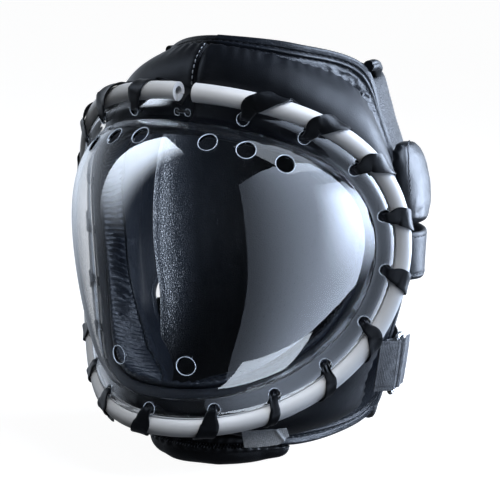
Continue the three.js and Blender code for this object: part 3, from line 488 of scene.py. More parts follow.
rear_away *= np.sign(np.sum(rear_away[105, 40] * (0, 1, 0)))
rear_turn = np.degrees(np.arctan2(rear_loops[..., 0], rear_loops[..., 1] - 38))
behind = step_up(np.sum(rear_away * unit(rear_loops - (0, 38, 120)), -1), -0.1, 0.3)
channels = np.zeros_like(rear_turn)
for seam in (-34, 34):
    gap = (rear_turn - seam) * 1.55
    channels += -1.9 * np.exp(-((gap / 1.5) ** 2)) + 0.7 * np.exp(-((np.abs(gap) - 8) / 6) ** 2)
band = rear_loops[..., 2] - 176 + 5 * np.cos(np.radians(rear_turn) * 2)
channels += (-1.6 * np.exp(-((band / 1.5) ** 2)) + 0.5 * np.exp(-((np.abs(band) - 8) / 6) ** 2)) * (np.abs(rear_turn) < 34)
rear_form = channels * behind + 0.7 * lumps(rear_loops, 42, 31) + 0.22 * lumps(rear_loops, 11, 32)
rear_loops = rear_loops + rear_away * rear_form[..., None]
rear_loops[..., 2] = np.maximum(rear_loops[..., 2], 0)
ends = []
for loop, inside in ((rear_loops[0], rear_loops[1]), (rear_loops[-1], rear_loops[-2])):
    partner = np.roll(loop[::-1], 1, 0)
    step = unit((loop - inside).mean(0))
    ends.append([loop + (partner - loop) * 0.5 * (1 - math.cos(a)) + step * 3.8 * math.sin(a) for a in np.linspace(0.2, 1.5, 8)])
rear_loops = np.concatenate([np.array(ends[0][::-1]), rear_loops, np.array(ends[1])])
rear_hide = cowhide("rear_cowhide", (0.0011, 0.0016, 0.0026), (0.0022, 0.0031, 0.0048), 0.44, 1.6, 0.2, 0.3)
rear = fit_piece(loop_mesh("rear_panel", rear_loops), rear_hide, ["rear_pad"])


# Ear pads: two small boxy cushions that stand over the openings behind the temples.
# A cowhide cover is drawn over soft foam, so it creases at the corners, and it is overcast to the base in front.
def puffed(name, node, voxel, pressure, cap, shrink):
    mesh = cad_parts[node].data.copy()
    mesh.name = name
    pad = bpy.data.objects.new(name, mesh)
    bpy.context.scene.collection.objects.link(pad)
    points = np.array([v.co for v in mesh.vertices])
    centre = points.mean(0)
    points = centre + (points - centre) * shrink
    mesh.vertices.foreach_set("co", points.astype(np.float32).ravel())
    mesh.update()
    bpy.context.view_layer.objects.active = pad
    remesh = pad.modifiers.new("even", "REMESH")
    remesh.mode, remesh.voxel_size = "VOXEL", voxel
    bpy.ops.object.modifier_apply(modifier="even")
    rest = np.array([v.co for v in pad.data.vertices])
    cloth = pad.modifiers.new("fill", "CLOTH")
    cloth.settings.use_pressure = True
    cloth.settings.uniform_pressure_force = pressure
    cloth.settings.effector_weights.gravity = 0
    cloth.settings.quality = 6
    cloth.settings.mass = 0.4
    cloth.settings.tension_stiffness = 18
    cloth.settings.compression_stiffness = 12
    cloth.settings.bending_stiffness = 0.6
    for step in range(1, 21):
        bpy.context.scene.frame_set(step)
    bpy.ops.object.modifier_apply(modifier="fill")
    bpy.context.scene.frame_set(1)
    moved = np.array([v.co for v in pad.data.vertices]) - rest
    far = np.linalg.norm(moved, axis=1, keepdims=True)
    held = rest + moved * np.minimum(1, cap / np.maximum(far, 1e-9))
    pad.data.vertices.foreach_set("co", held.astype(np.float32).ravel())
    smooth = pad.modifiers.new("skin", "SUBSURF")
    smooth.levels = smooth.render_levels = 2
    bpy.ops.object.modifier_apply(modifier="skin")
    done = pad.data
    bpy.data.objects.remove(pad)
    return done


ear_hide = cowhide("ear_cowhide", (0.0021, 0.0030, 0.0049), (0.0036, 0.0052, 0.0081), 0.37, 1.2, 0.03, 0.12)
ear_thread = thread_finish("grey_ear_thread", (0.05, 0.053, 0.058), (0.14, 0.145, 0.155))
for side, hand in (("left", 1), ("right", -1)):
    ear_mesh = puffed(f"ear_cushion_{side}", f"ear_pad_{side}", 0.0032, 5.0, 0.0035, 0.95)
    points = np.array([v.co for v in ear_mesh.vertices])
    normals = np.array([v.normal for v in ear_mesh.vertices])
    real = points * 1000
    out_share = step_up(hand * normals[:, 0], -0.2, 0.5)
    low_creases = np.exp(-((real[:, 2] - 152) / 7) ** 2) * np.sin(real[:, 2] / 2.6 + 1.5 * lumps(real, 9, 41))
    form = 0.35 * lumps(real, 12, 42) + 0.5 * low_creases * out_share
    ear_mesh.vertices.foreach_set("co", (points + normals * form[:, None] / 1000).astype(np.float32).ravel())
    ear_mesh.update()
    ear_mesh.shade_smooth()
    ear = fit_piece(ear_mesh, ear_hide, [f"ear_pad_{side}"])
    drop = np.linspace(0, 1, 34)
    seam_depth = 30.6 + LIFT_BACK - 4 - 13.5 * np.sin(drop * 1.5) + 1.4 * (np.arange(34) % 2)
    seam_height = 199.5 - 34 * (1 - np.cos(drop * 1.5)) + 1.4 * (np.arange(34) % 2)
    whip = []
    for depth, height in zip(seam_depth, seam_height):
        close = np.hypot(real[:, 1] - depth, real[:, 2] - height) < 2.6
        face_side = (hand * real[close, 0]).max() * hand
        whip.append((face_side + hand * 0.3, depth - LIFT_BACK, height))
    fit_piece(loop_mesh(f"ear_overcast_{side}", tube_loops(np.array(whip), 0.45, 6)), ear_thread)


# Clear shield: one polycarbonate sheet drawn into a full dome with a flat flange all round.
# Seven-sixteenth inch vents are drilled through the dome, and lace holes and two tie holes through the flange.
WALL = 2.4
FLANGE_INNER = 18
FLANGE_OUTER = 1.4
DOME_TOP = np.array([0, -117, 134.0])
FLANGE_SPAN = 0.17
BEND = 0.03
VENTS = [(23.5, 203), (46, 200), (67, 193), (23.5, 72.5)]
VENT_RADIUS = 5.6
LACE_TURNS = 19
LACE_INSET = 11
LACE_HOLE = 3.6
TIE_INSET = 12
TIE_REACH = 3.6
TIE_HOLE = 2

fine_turns = np.linspace(0, 2 * math.pi, 721)
rim_run = run_length(rim_point(fine_turns))


def turn_at(share):
    return np.interp(np.asarray(share) * rim_run[-1], rim_run, fine_turns)


def flange_rise(inward, turn):
    beyond, within = np.maximum(0, 9.5 - inward), np.maximum(0, inward - 9.5)
    pulled = 0.36 * (1 - 0.85 * np.exp(-((np.mod(turn + math.pi, 2 * math.pi) - math.pi) / 0.22) ** 2))
    return 2.2 - pulled * (beyond - 1 + np.exp(-beyond)) - 0.38 * (within - 1 + np.exp(-within))


def dome_wall(row, turn):
    share = np.sin(np.clip(row, 0, 1) * math.pi / 2)[..., None]
    foot = at_rim(turn, FLANGE_INNER, flange_rise(FLANGE_INNER, turn))
    point = DOME_TOP + (foot - DOME_TOP) * share
    fall = (1 - np.sqrt(1 - 0.975 * share[..., 0] ** 2)) / (1 - math.sqrt(0.025))
    point[..., 1] = DOME_TOP[1] + (foot[..., 1] - DOME_TOP[1]) * fall
    return point


def flange_wall(row, turn):
    share = np.clip((row - 1) / FLANGE_SPAN, 0, 1)
    inward = FLANGE_INNER + (FLANGE_OUTER - FLANGE_INNER) * share
    return at_rim(turn, inward, flange_rise(inward, turn))


def shield_wall(row, turn):
    row, turn = np.broadcast_arrays(np.asarray(row, float), np.asarray(turn, float))
    bend_out = FLANGE_SPAN * 0.2
    point = np.where((row < 1)[..., None], dome_wall(row, turn), flange_wall(row, turn))
    t = np.clip((row - 1 + BEND) / (BEND + bend_out), 0, 1)[..., None]
    start = dome_wall(np.full_like(row, 1 - BEND), turn)
    corner = at_rim(turn, FLANGE_INNER, flange_rise(FLANGE_INNER, turn))
    end = flange_wall(np.full_like(row, 1 + bend_out), turn)
    bent = start * (1 - t) ** 2 + corner * 2 * t * (1 - t) + end * t**2
    inside = ((row > 1 - BEND) & (row < 1 + bend_out))[..., None]
    return np.where(inside, bent, point)


def shield_away(row, turn):
    row, turn = np.broadcast_arrays(np.asarray(row, float), np.asarray(turn, float))
    low, high = np.maximum(row - 2e-3, 1e-3), np.minimum(row + 2e-3, 1 + FLANGE_SPAN - 1e-6)
    down = shield_wall(high, turn) - shield_wall(low, turn)
    along = shield_wall(np.maximum(row, 2e-3), turn + 2e-3) - shield_wall(np.maximum(row, 2e-3), turn - 2e-3)
    away = unit(np.cross(along, down))
    return away * np.where(row < 0.3, np.sign(-away[..., 1]), np.sign(np.sum(away * rim_axes(turn)[1], -1)))[..., None]


def dome_place(side, height):
    wanted = np.arctan2(side, height - DOME_TOP[2])
    turn = wanted.copy()
    for _ in range(40):
        foot = at_rim(turn, FLANGE_INNER, flange_rise(FLANGE_INNER, turn))
        turn = turn + wanted - np.arctan2(foot[..., 0], foot[..., 2] - DOME_TOP[2])
    foot = at_rim(turn, FLANGE_INNER, flange_rise(FLANGE_INNER, turn))
    share = np.hypot(side, height - DOME_TOP[2]) / np.hypot(foot[..., 0], foot[..., 2] - DOME_TOP[2])
    return np.arcsin(np.clip(share, 0, 1)) * 2 / math.pi, turn


def hole_rings(kind, first, second, radius, spokes):
    rings = []
    for grow in (1, 1.12, 1.32):
        a = np.linspace(0, 2 * math.pi, spokes, endpoint=False)
        if kind == "dome":
            row, turn = dome_place(np.array([float(first)]), np.array([float(second)]))
            spot, away = shield_wall(row, turn)[0], shield_away(row, turn)[0]
            across = unit(np.cross(away, (0, 0, 1.0)))
            up = np.cross(across, away)
            points = spot + radius * grow * (np.cos(a)[:, None] * across + np.sin(a)[:, None] * up)
            rings.append(np.stack(dome_place(points[:, 0], points[:, 2]), -1))
        else:
            inward = second + radius * grow * np.cos(a)
            speed = np.linalg.norm(at_rim(np.array(first + 1e-3), second, 0) - at_rim(np.array(first - 1e-3), second, 0)) / 2e-3
            turn = first + radius * grow * np.sin(a) / speed
            row = 1 + FLANGE_SPAN * (inward - FLANGE_INNER) / (FLANGE_OUTER - FLANGE_INNER)
            rings.append(np.stack([row, turn], -1))
    return rings


holes = [hole_rings("dome", hand * side, height, VENT_RADIUS, 40) for side, height in VENTS for hand in (1, -1)]
holes += [hole_rings("flange", float(turn_at(i / (LACE_TURNS + 1))), LACE_INSET, LACE_HOLE, 24) for i in range(1, LACE_TURNS + 1)]
top_speed = np.linalg.norm(at_rim(np.array(1e-3), TIE_INSET, 0) - at_rim(np.array(-1e-3), TIE_INSET, 0)) / 2e-3
holes += [hole_rings("flange", hand * TIE_REACH / top_speed, TIE_INSET, TIE_HOLE, 16) for hand in (1, -1)]
flat = lambda places: np.stack([places[:, 0] * np.sin(places[:, 1]), places[:, 0] * np.cos(places[:, 1])], -1)
rows = np.concatenate([np.linspace(0, 1 - BEND, 46), np.linspace(1 - BEND, 1 + FLANGE_SPAN * 0.2, 10)[1:],
                       np.linspace(1 + FLANGE_SPAN * 0.2, 1 + FLANGE_SPAN, 14)[1:]])
grid = [np.array([[0.0, 0.0]])]
for row in rows[1:]:
    count = int(max(8, round(320 * min(1, row) ** 0.9)))
    grid.append(np.stack([np.full(count, row), np.linspace(0, 2 * math.pi, count, endpoint=False)], -1))
places = np.concatenate(grid)
keep = np.ones(len(places), bool)
spots = flat(places)
for rings in holes:
    outline = flat(rings[2])
    centre = outline.mean(0)
    arms = outline - centre
    facing = np.arctan2(arms[:, 1], arms[:, 0])
    order = np.argsort(facing)
    reach = np.hypot(*(spots - centre).T)
    limit = np.interp(np.arctan2(spots[:, 1] - centre[1], spots[:, 0] - centre[0]), facing[order],
                      np.hypot(arms[:, 0], arms[:, 1])[order], period=2 * math.pi)
    keep &= reach > limit * 1.1
keep[-len(grid[-1]):] = True
places = places[keep]
outer_ring = np.arange(len(places) - len(grid[-1]), len(places))
edges = list(zip(outer_ring.tolist(), np.roll(outer_ring, -1).tolist()))
hole_starts = []
for rings in holes:
    for level, ring in enumerate(rings):
        start = len(places)
        if level == 0:
            hole_starts.append((start, len(ring)))
            edges += [(start + k, start + (k + 1) % len(ring)) for k in range(len(ring))]
        places = np.concatenate([places, ring])
cut = delaunay_2d_cdt([Vector(p) for p in flat(places)], edges, [], 0, 1e-7)
assert len(cut[0]) == len(places)
owner = np.full(len(places), -1)
for number, (start, count) in enumerate(hole_starts):
    owner[start:start + count] = number
sheet_faces = np.array([f for f in cut[2] if not (owner[f[0]] >= 0 and owner[f[0]] == owner[f[1]] == owner[f[2]])])
wall_points = shield_wall(places[:, 0], places[:, 1])
wall_away = shield_away(places[:, 0], places[:, 1])
front, back = wall_points + wall_away * WALL / 2, wall_points - wall_away * WALL / 2
corner = front[sheet_faces]
turned = np.sum(np.cross(corner[:, 1] - corner[:, 0], corner[:, 2] - corner[:, 0]) * wall_away[sheet_faces].mean(1), -1) < 0
sheet_faces[turned] = sheet_faces[turned][:, ::-1]
total = len(places)
faces = sheet_faces.tolist() + (sheet_faces[:, ::-1] + total).tolist()
used = {}
for a, b, c in sheet_faces.tolist():
    for edge in ((a, b), (b, c), (c, a)):
        used[edge] = True
faces += [[b, a, a + total, b + total] for a, b in used if (b, a) not in used]
shield_mesh = bpy.data.meshes.new("clear_shield")
shield_mesh.from_pydata(((np.vstack([front, back]) + (0, LIFT_BACK, 0)) / 1000).tolist(), [], faces)
shield_mesh.update()
shield_mesh.shade_smooth()
loop_owner = np.zeros(len(shield_mesh.loops), np.int32)
shield_mesh.loops.foreach_get("vertex_index", loop_owner)
face_way = np.array([p.normal for p in shield_mesh.polygons])
loop_face = np.repeat(np.arange(len(shield_mesh.polygons)), [p.loop_total for p in shield_mesh.polygons])
both_ways = np.vstack([wall_away, -wall_away])
on_sheet = loop_face < 2 * len(sheet_faces)
loop_ways = np.where(on_sheet[:, None], both_ways[loop_owner], face_way[loop_face])
shield_mesh.normals_split_custom_set(loop_ways.tolist())
clear, tree, surface = new_finish("clear_polycarbonate")
where = add_node(tree, "ShaderNodeTexCoord").outputs["Object"]
haze = add_node(tree, "ShaderNodeTexNoise", Vector=where, Scale=45.0, Detail=5.0)
fog = add_node(tree, "ShaderNodeMapRange", Value=haze.outputs["Fac"])
fog.inputs["From Min"].default_value, fog.inputs["From Max"].default_value = 0.35, 0.75
fog.inputs["To Min"].default_value, fog.inputs["To Max"].default_value = 0.012, 0.045
tree.links.new(fog.outputs["Result"], surface.inputs["Roughness"])
surface.inputs["Base Color"].default_value = (0.90, 0.92, 0.95, 1)
surface.inputs["Transmission Weight"].default_value = 1
surface.inputs["IOR"].default_value = 1.53
shield = fit_piece(shield_mesh, clear, ["face_shield"])
shield.visible_shadow = False
shield.visible_diffuse = False
cut_points, cut_faces = [], []
for rings in holes:
    ring, away = shield_wall(*rings[0].T), shield_away(*rings[0].T)
    arms = ring - ring.mean(0)
    corners = [ring - arms * 0.01 + away * (WALL / 2 - 0.3), ring + arms * 0.01 + away * (WALL / 2 + 0.02),
               ring + arms * 0.055 + away * (WALL / 2 + 0.08), ring + arms * 0.075 + away * (WALL / 2 - 0.1)]
    start, count = len(cut_points), len(ring)
    cut_points += np.stack(corners, 1).reshape(-1, 3).tolist()
    for k in range(count):
        here, there = start + 4 * k, start + 4 * ((k + 1) % count)
        cut_faces += [(here + c, there + c, there + (c + 1) % 4, here + (c + 1) % 4) for c in range(4)]
cut_mesh = bpy.data.meshes.new("drilled_edges")
cut_mesh.from_pydata(((np.array(cut_points) + (0, LIFT_BACK, 0)) / 1000).tolist(), [], cut_faces)
cut_mesh.update()
cut_mesh.shade_smooth()
cut_mesh.set_sharp_from_angle(angle=math.radians(40))
frosted, tree, surface = new_finish("frosted_cut")
where = add_node(tree, "ShaderNodeTexCoord").outputs["Object"]
chatter = add_node(tree, "ShaderNodeTexNoise", Vector=where, Scale=700.0, Detail=3.0)
tint = add_node(tree, "ShaderNodeMix", {"data_type": "RGBA"}, Factor=chatter.outputs["Fac"])
tint.inputs["A"].default_value = (0.10, 0.108, 0.115, 1)
tint.inputs["B"].default_value = (0.34, 0.36, 0.38, 1)
tree.links.new(tint.outputs["Result"], surface.inputs["Base Color"])
surface.inputs["Roughness"].default_value = 0.4
drilled = fit_piece(cut_mesh, frosted)


# Rim hose: a grey soft plastic hose, slit along its length and pushed on to the edge of the shield.
# It goes right round and its two cut ends stand a few millimetres apart at the forehead.
HOSE_RADIUS = 6
HOSE_BORE = 3.3
half_gap = 6 / np.linalg.norm(rim_point(np.array(5e-4)) - rim_point(np.array(-5e-4))) * 1e-3
hose_turns = np.linspace(half_gap, 2 * math.pi - half_gap, 420)
lip_angle = math.asin((WALL / 2 + 0.3) / HOSE_RADIUS)
bore_angle = math.asin((WALL / 2 + 0.3) / HOSE_BORE)
outside_turn = np.linspace(lip_angle + 0.06, 2 * math.pi - lip_angle - 0.06, 36)
inside_turn = np.linspace(2 * math.pi - bore_angle - 0.05, bore_angle + 0.05, 16)
section = np.concatenate([
    np.stack([HOSE_RADIUS * np.cos(outside_turn), HOSE_RADIUS * np.sin(outside_turn)], -1),
    [[HOSE_RADIUS * math.cos(lip_angle) - 0.25, -HOSE_RADIUS * math.sin(lip_angle)]],
    np.stack([HOSE_BORE * np.cos(inside_turn), HOSE_BORE * np.sin(inside_turn)], -1),
    [[HOSE_RADIUS * math.cos(lip_angle) - 0.25, HOSE_RADIUS * math.sin(lip_angle)]],
])
axes = rim_axes(hose_turns)
hose_loops = rim_point(hose_turns)[:, None] + axes[2][:, None] * section[None, :, :1] + axes[1][:, None] * section[None, :, 1:]
hose_loops += axes[1][:, None] * 0.12 * lumps(hose_loops, 30, 51)[..., None]
silver, tree, surface = new_finish("silver_hose")
where = add_node(tree, "ShaderNodeTexCoord").outputs["Object"]
streak = add_node(tree, "ShaderNodeTexNoise", Vector=where, Scale=38.0, Detail=5.0, Roughness=0.55)
tint = add_node(tree, "ShaderNodeMix", {"data_type": "RGBA"}, Factor=streak.outputs["Fac"])
tint.inputs["A"].default_value = (0.44, 0.446, 0.452, 1)
tint.inputs["B"].default_value = (0.54, 0.546, 0.552, 1)
tree.links.new(tint.outputs["Result"], surface.inputs["Base Color"])
scuff = add_node(tree, "ShaderNodeTexNoise", Vector=where, Scale=420.0, Detail=3.0)
dull = add_node(tree, "ShaderNodeMapRange", Value=scuff.outputs["Fac"])
dull.inputs["To Min"].default_value, dull.inputs["To Max"].default_value = 0.30, 0.46
tree.links.new(dull.outputs["Result"], surface.inputs["Roughness"])
bump = add_node(tree, "ShaderNodeBump", Height=scuff.outputs["Fac"], Strength=0.25, Distance=0.0001)
tree.links.new(bump.outputs["Normal"], surface.inputs["Normal"])
hose = fit_piece(loop_mesh("rim_hose", hose_loops), silver, ["rim_tube"])


# Tie cord: a thin waxed cord through the two small holes that keeps the hose ends together.
# It is knotted behind the flange and its two strands show in the gap.
tie_angles = np.linspace(0, 2 * math.pi, 48, endpoint=False)
power = lambda value, p: np.sign(value) * np.abs(value) ** p
top = np.array(0.0)
tie_along, tie_out, tie_in = (axis for axis in rim_axes(top))
tie_line = at_rim(top, TIE_INSET, 1.7) + tie_along * (power(np.cos(tie_angles), 0.5) * TIE_REACH)[:, None]
tie_line = tie_line + tie_out * (power(np.sin(tie_angles), 0.7) * 2.3)[:, None]
wax, tree, surface = new_finish("waxed_cord")
where = add_node(tree, "ShaderNodeTexCoord").outputs["Object"]
twist = add_node(tree, "ShaderNodeTexWave", Vector=where, Scale=420.0, Distortion=2.0)
tint = add_node(tree, "ShaderNodeMix", {"data_type": "RGBA"}, Factor=twist.outputs["Fac"])
tint.inputs["A"].default_value = (0.012, 0.013, 0.015, 1)
tint.inputs["B"].default_value = (0.05, 0.053, 0.058, 1)
tree.links.new(tint.outputs["Result"], surface.inputs["Base Color"])
surface.inputs["Roughness"].default_value = 0.6
fit_piece(loop_mesh("tie_cord", tube_loops(tie_line, 0.75, 10, True, tie_in), True), wax, ["tube_tie"])


# Rim lace: one long flat thong of satin black leather that binds hose, shield and bumper together.
# It comes up through a flange hole, gathers there, spreads over the hose and goes behind it to the next hole.
LACE_WIDTH = 11.5
LACE_NECK = 5
LACE_THICK = 1.05
NARROW_TURNS = {6: 9.5, 7: 7, 8: 6.5, 12: 9}
STEEP_TURNS = {1: 0.42, 2: 0.36, 3: 0.32, 4: 0.2, 6: 0.3, 7: 0.22, 17: 0.3, 18: 0.4}
lace_reach = HOSE_RADIUS + LACE_THICK / 2 + 0.2
knots = []
for turn in range(1, LACE_TURNS + 1):
    slant = STEEP_TURNS.get(turn, 0.14)
    wide = NARROW_TURNS.get(turn, LACE_WIDTH)
    stops = [(0, LACE_INSET, 0, LACE_NECK), (0.02, LACE_INSET - 0.1, 3.1, LACE_NECK), (0.06, 7.4, 5.0, wide * 0.7)]
    for share in np.linspace(0, 1, 11):
        angle = math.radians(66 + share * 228)
        slide = 0.08 + slant * min(1, share * 2.2) + (0.84 - slant) * max(0, share - 0.7) / 0.3
        stops.append((slide, lace_reach * math.cos(angle), lace_reach * math.sin(angle), wide))
    if turn < LACE_TURNS:
        stops += [(0.95, 7.2, -5.2, 8), (0.985, LACE_INSET - 0.1, -2.6, LACE_NECK)]
    for slide, inward, out, width in stops:
        at = turn_at((turn + slide) / (LACE_TURNS + 1))
        knots.append([*at_rim(at, inward, out), *rim_axes(at)[0], width])
knots = np.array(knots)
shares = np.linspace(0, 1, (len(knots) - 1) * 6 + 1)
lace_line = smooth_run(knots[:, :3], shares)
place = shares * (len(knots) - 1)
lace_along = unit(np.stack([np.interp(place, np.arange(len(knots)), knots[:, 3 + k]) for k in range(3)], -1))
lace_width = np.interp(place, np.arange(len(knots)), knots[:, 6])
lace_width = np.convolve(np.pad(lace_width, 4, mode="edge"), np.ones(9) / 9, "valid")
lace_way = unit(np.gradient(lace_line, axis=0))
lace_across = unit(lace_along - lace_way * np.sum(lace_along * lace_way, -1, keepdims=True))
lace_up = np.cross(lace_way, lace_across)
profile = np.array([(-1, -0.5), (-0.9, -1), (-0.5, -1), (0, -1), (0.5, -1), (0.9, -1), (1, -0.5), (1, 0.5), (0.9, 1), (0.5, 1), (0, 1), (-0.5, 1), (-0.9, 1), (-1, 0.5)])
bunch = step_up(8.5 - lace_width, 0, 4)[:, None]
ripple = bunch * 0.5 * np.sin(profile[None, :, 0] * 6 + 2 * np.sin(run_length(lace_line) / 9)[:, None])
lace_loops = lace_line[:, None] + lace_across[:, None] * (profile[None, :, 0] * lace_width[:, None] / 2)[..., None]
lace_loops = lace_loops + lace_up[:, None] * (profile[None, :, 1] * LACE_THICK / 2 * (1 + 0.5 * bunch) + ripple)[..., None]
thong = cowhide("lace_thong", (0.0015, 0.0021, 0.0032), (0.0031, 0.0042, 0.0062), 0.36, 0.8, 0.02, 0.08)
lace = fit_piece(loop_mesh("rim_thong", lace_loops), thong, ["rim_lace"])


# Lace tabs: short ends of silver-grey woven tape, tucked under the lace at both lower sides.
# Flat cotton tape with a coarse plain weave, creased where it is folded and a little frayed at its cut ends.
def weave_lift(first, second, pitch):
    a, b = first / pitch * math.pi, second / pitch * math.pi
    over = np.sign(np.sin(a) * np.sin(b))
    return np.where(over > 0, np.abs(np.sin(a)), np.abs(np.sin(b)))


TAPE_PITCH = 1.15
tape, tree, surface = new_finish("silver_tape")
where = add_node(tree, "ShaderNodeTexCoord").outputs["Object"]
fleck = add_node(tree, "ShaderNodeTexNoise", Vector=where, Scale=800.0, Detail=3.0, Roughness=0.7)
tint = add_node(tree, "ShaderNodeMix", {"data_type": "RGBA"}, Factor=fleck.outputs["Fac"])
tint.inputs["A"].default_value = (0.10, 0.104, 0.11, 1)
tint.inputs["B"].default_value = (0.42, 0.43, 0.44, 1)
tree.links.new(tint.outputs["Result"], surface.inputs["Base Color"])
bump = add_node(tree, "ShaderNodeBump", Height=fleck.outputs["Fac"], Strength=0.5, Distance=0.0003)
tree.links.new(bump.outputs["Normal"], surface.inputs["Normal"])
surface.inputs["Roughness"].default_value = 0.85
tabs = []
for side, hand in (("left", 1), ("right", -1)):
    tab_turns = np.radians(np.linspace(150, 138, 96))
    long_share, wide_share = np.linspace(0, 1, 96)[:, None], np.linspace(0, 1, 64)[None]
    near_edge = -8.0 - 6.5 * long_share**1.3
    far_edge = -18.5 - 5 * long_share + 3.5 * step_up(long_share, 0.75, 1)
    reach = near_edge + (far_edge - near_edge) * wide_share
    curl = 0.8 * np.sin(long_share * 3.2) * wide_share**2
    along = run_length(at_rim(tab_turns, -14.0, -4.0))
    lift = 0.22 * weave_lift(along[:, None] + 0 * wide_share, reach, TAPE_PITCH) - 0.15
    crease = 0.9 * np.exp(-((along[:, None] - along[-1] + 5 + 0.35 * (reach + 18)) / 1.2) ** 2)
    top_face = at_rim(tab_turns[:, None] + 0 * reach, reach, -4 + 0.45 + lift + curl + crease)
    low_face = at_rim(tab_turns[:, None] + 0 * reach, reach, -4 - 0.45 - lift + curl + crease)
    tab_loops = np.concatenate([top_face, low_face[:, ::-1]], 1) * (hand, 1, 1)
    tab = fit_piece(loop_mesh(f"woven_tab_{side}", tab_loops), tape, [f"lace_tab_{side}"])
    tabs.append(tab)


# Upper straps: short doubled leather straps below the ears that tie the base to the rear panel.
# Cowhide is folded over a stiff core, sewn along both edges, and turned over at its rear end.
def band_loops(route, height, width, thick, steps, across_points, lean=0, pivot=93.5, ribs=None, bow=0.0):
    plan = smooth_run(np.array([(x, y, height) for x, y in route]), np.linspace(0, 1, steps))
    way = unit(np.gradient(plan, axis=0))
    face = unit(np.cross(way, (0, 0, 1.0)))
    v = np.linspace(-1, 1, across_points)
    run = run_length(plan)
    relief = np.zeros((steps, across_points)) if ribs is None else ribs(run, v * width / 2)
    edge = (1 - np.abs(v) ** 12) ** 0.5
    half = thick / 2 * np.maximum(edge, 0.3)[None] + relief
    rise = np.stack([0 * v, 0 * v, v * width / 2], -1)
    bowed = bow * (1 - v**2)[None, :, None] * face[:, None]
    outer = plan[:, None] + rise[None] + face[:, None] * half[..., None] + bowed
    inner = plan[:, None] + rise[None] - face[:, None] * half[..., None] + bowed
    loops = np.concatenate([outer, inner[:, ::-1]], 1)
    turn = math.radians(lean)
    x, z = loops[..., 0] - pivot, loops[..., 2] - 58
    loops = loops.copy()
    if lean:
        loops[..., 0] = pivot + x * math.cos(turn) + z * math.sin(turn)
        loops[..., 2] = 58 - x * math.sin(turn) + z * math.cos(turn)
    return loops, outer


UPPER_ROUTE = [(100.5, 12.5), (105, 20), (106.5, 29), (103.5, 40), (96.5, 51), (85.4, 62)]
strap_hide = cowhide("strap_cowhide", (0.0023, 0.0032, 0.0053), (0.0046, 0.0065, 0.0098), 0.42, 1.3, 0.05, 0.16)
strap_thread = thread_finish("dark_strap_thread", (0.02, 0.022, 0.026), (0.06, 0.064, 0.07))
for side, hand in (("left", 1), ("right", -1)):
    soft = lambda run, v: 0.18 * np.sin(run[:, None] / 5.5 + v[None] / 9) - 0.35 * np.exp(-((np.abs(v[None]) - 11.5) / 0.8) ** 2) + 0 * run[:, None]
    loops, outer = band_loops(UPPER_ROUTE, 130, 30, 3.2, 90, 40, ribs=soft)
    fit_piece(loop_mesh(f"ear_strap_{side}", loops * (hand, 1, 1)), strap_hide, [f"upper_strap_{side}"])
    rows_at = [np.argmin(np.abs(np.linspace(-15, 15, 40) - v)) for v in (-12, 12)]
    for level, k in zip(("low", "high"), rows_at):
        line = outer[4:-4, k] * (hand, 1, 1)
        away = unit(np.cross(np.gradient(line, axis=0), (0, 0, 1.0))) * hand
        fit_piece(stitch_mesh(f"ear_strap_stitches_{level}_{side}", line, away, 3.2, 2.3, 0.35), strap_thread)


# Jaw straps: dark ribbed polyester webbing, one short piece from the base and one from the rear panel on each side.
# Each is folded round its bar of a wire loop; the rear one comes back on itself and ends cut and frayed.
WEB_WIDTH = 33
WEB_THICK = 1.4
WIRE = 1.5
FRONT_BAR = (93.5, 24.5)
REAR_BAR = (92.6, 33.5)
ROUND = WIRE + WEB_THICK / 2 + 0.6
LOWER_ROUTE = [(89, 11), (92.4, 16.5), (FRONT_BAR[0] + 1.9, FRONT_BAR[1] - 2), (FRONT_BAR[0] + ROUND, FRONT_BAR[1] + 0.3),
               (FRONT_BAR[0] + 1.5, FRONT_BAR[1] + ROUND - 0.4), (FRONT_BAR[0] - 0.6, FRONT_BAR[1] + ROUND),
               (FRONT_BAR[0] - ROUND, FRONT_BAR[1] + 0.6), (89.6, 18)]
NECK_ROUTE = [(73, 62), (82.5, 48), (REAR_BAR[0] - ROUND - 0.4, REAR_BAR[1] + 1.5), (REAR_BAR[0] - 1.5, REAR_BAR[1] - ROUND + 0.3),
              (REAR_BAR[0] + 0.6, REAR_BAR[1] - ROUND), (REAR_BAR[0] + ROUND, REAR_BAR[1]), (93.6, 39), (93, 45)]
webbing, tree, surface = new_finish("ribbed_webbing")
where = add_node(tree, "ShaderNodeTexCoord").outputs["Object"]
fuzz = add_node(tree, "ShaderNodeTexNoise", Vector=where, Scale=1100.0, Detail=4.0, Roughness=0.75)
fade = add_node(tree, "ShaderNodeTexNoise", Vector=where, Scale=170.0, Detail=5.0, Roughness=0.65)
soiled = add_node(tree, "ShaderNodeMapRange", Value=fade.outputs["Fac"])
soiled.inputs["From Min"].default_value, soiled.inputs["From Max"].default_value = 0.3, 0.8
tint = add_node(tree, "ShaderNodeMix", {"data_type": "RGBA"}, Factor=fuzz.outputs["Fac"])
tint.inputs["A"].default_value = (0.022, 0.0225, 0.024, 1)
tint.inputs["B"].default_value = (0.27, 0.275, 0.285, 1)
worn_tint = add_node(tree, "ShaderNodeMix", {"data_type": "RGBA"}, Factor=soiled.outputs["Result"])
worn_tint.inputs["B"].default_value = (0.035, 0.036, 0.039, 1)
tree.links.new(tint.outputs["Result"], worn_tint.inputs["A"])
tree.links.new(worn_tint.outputs["Result"], surface.inputs["Base Color"])
bump = add_node(tree, "ShaderNodeBump", Height=fuzz.outputs["Fac"], Strength=0.7, Distance=0.0003)
tree.links.new(bump.outputs["Normal"], surface.inputs["Normal"])
surface.inputs["Roughness"].default_value = 0.8
surface.inputs["Sheen Weight"].default_value = 0.15


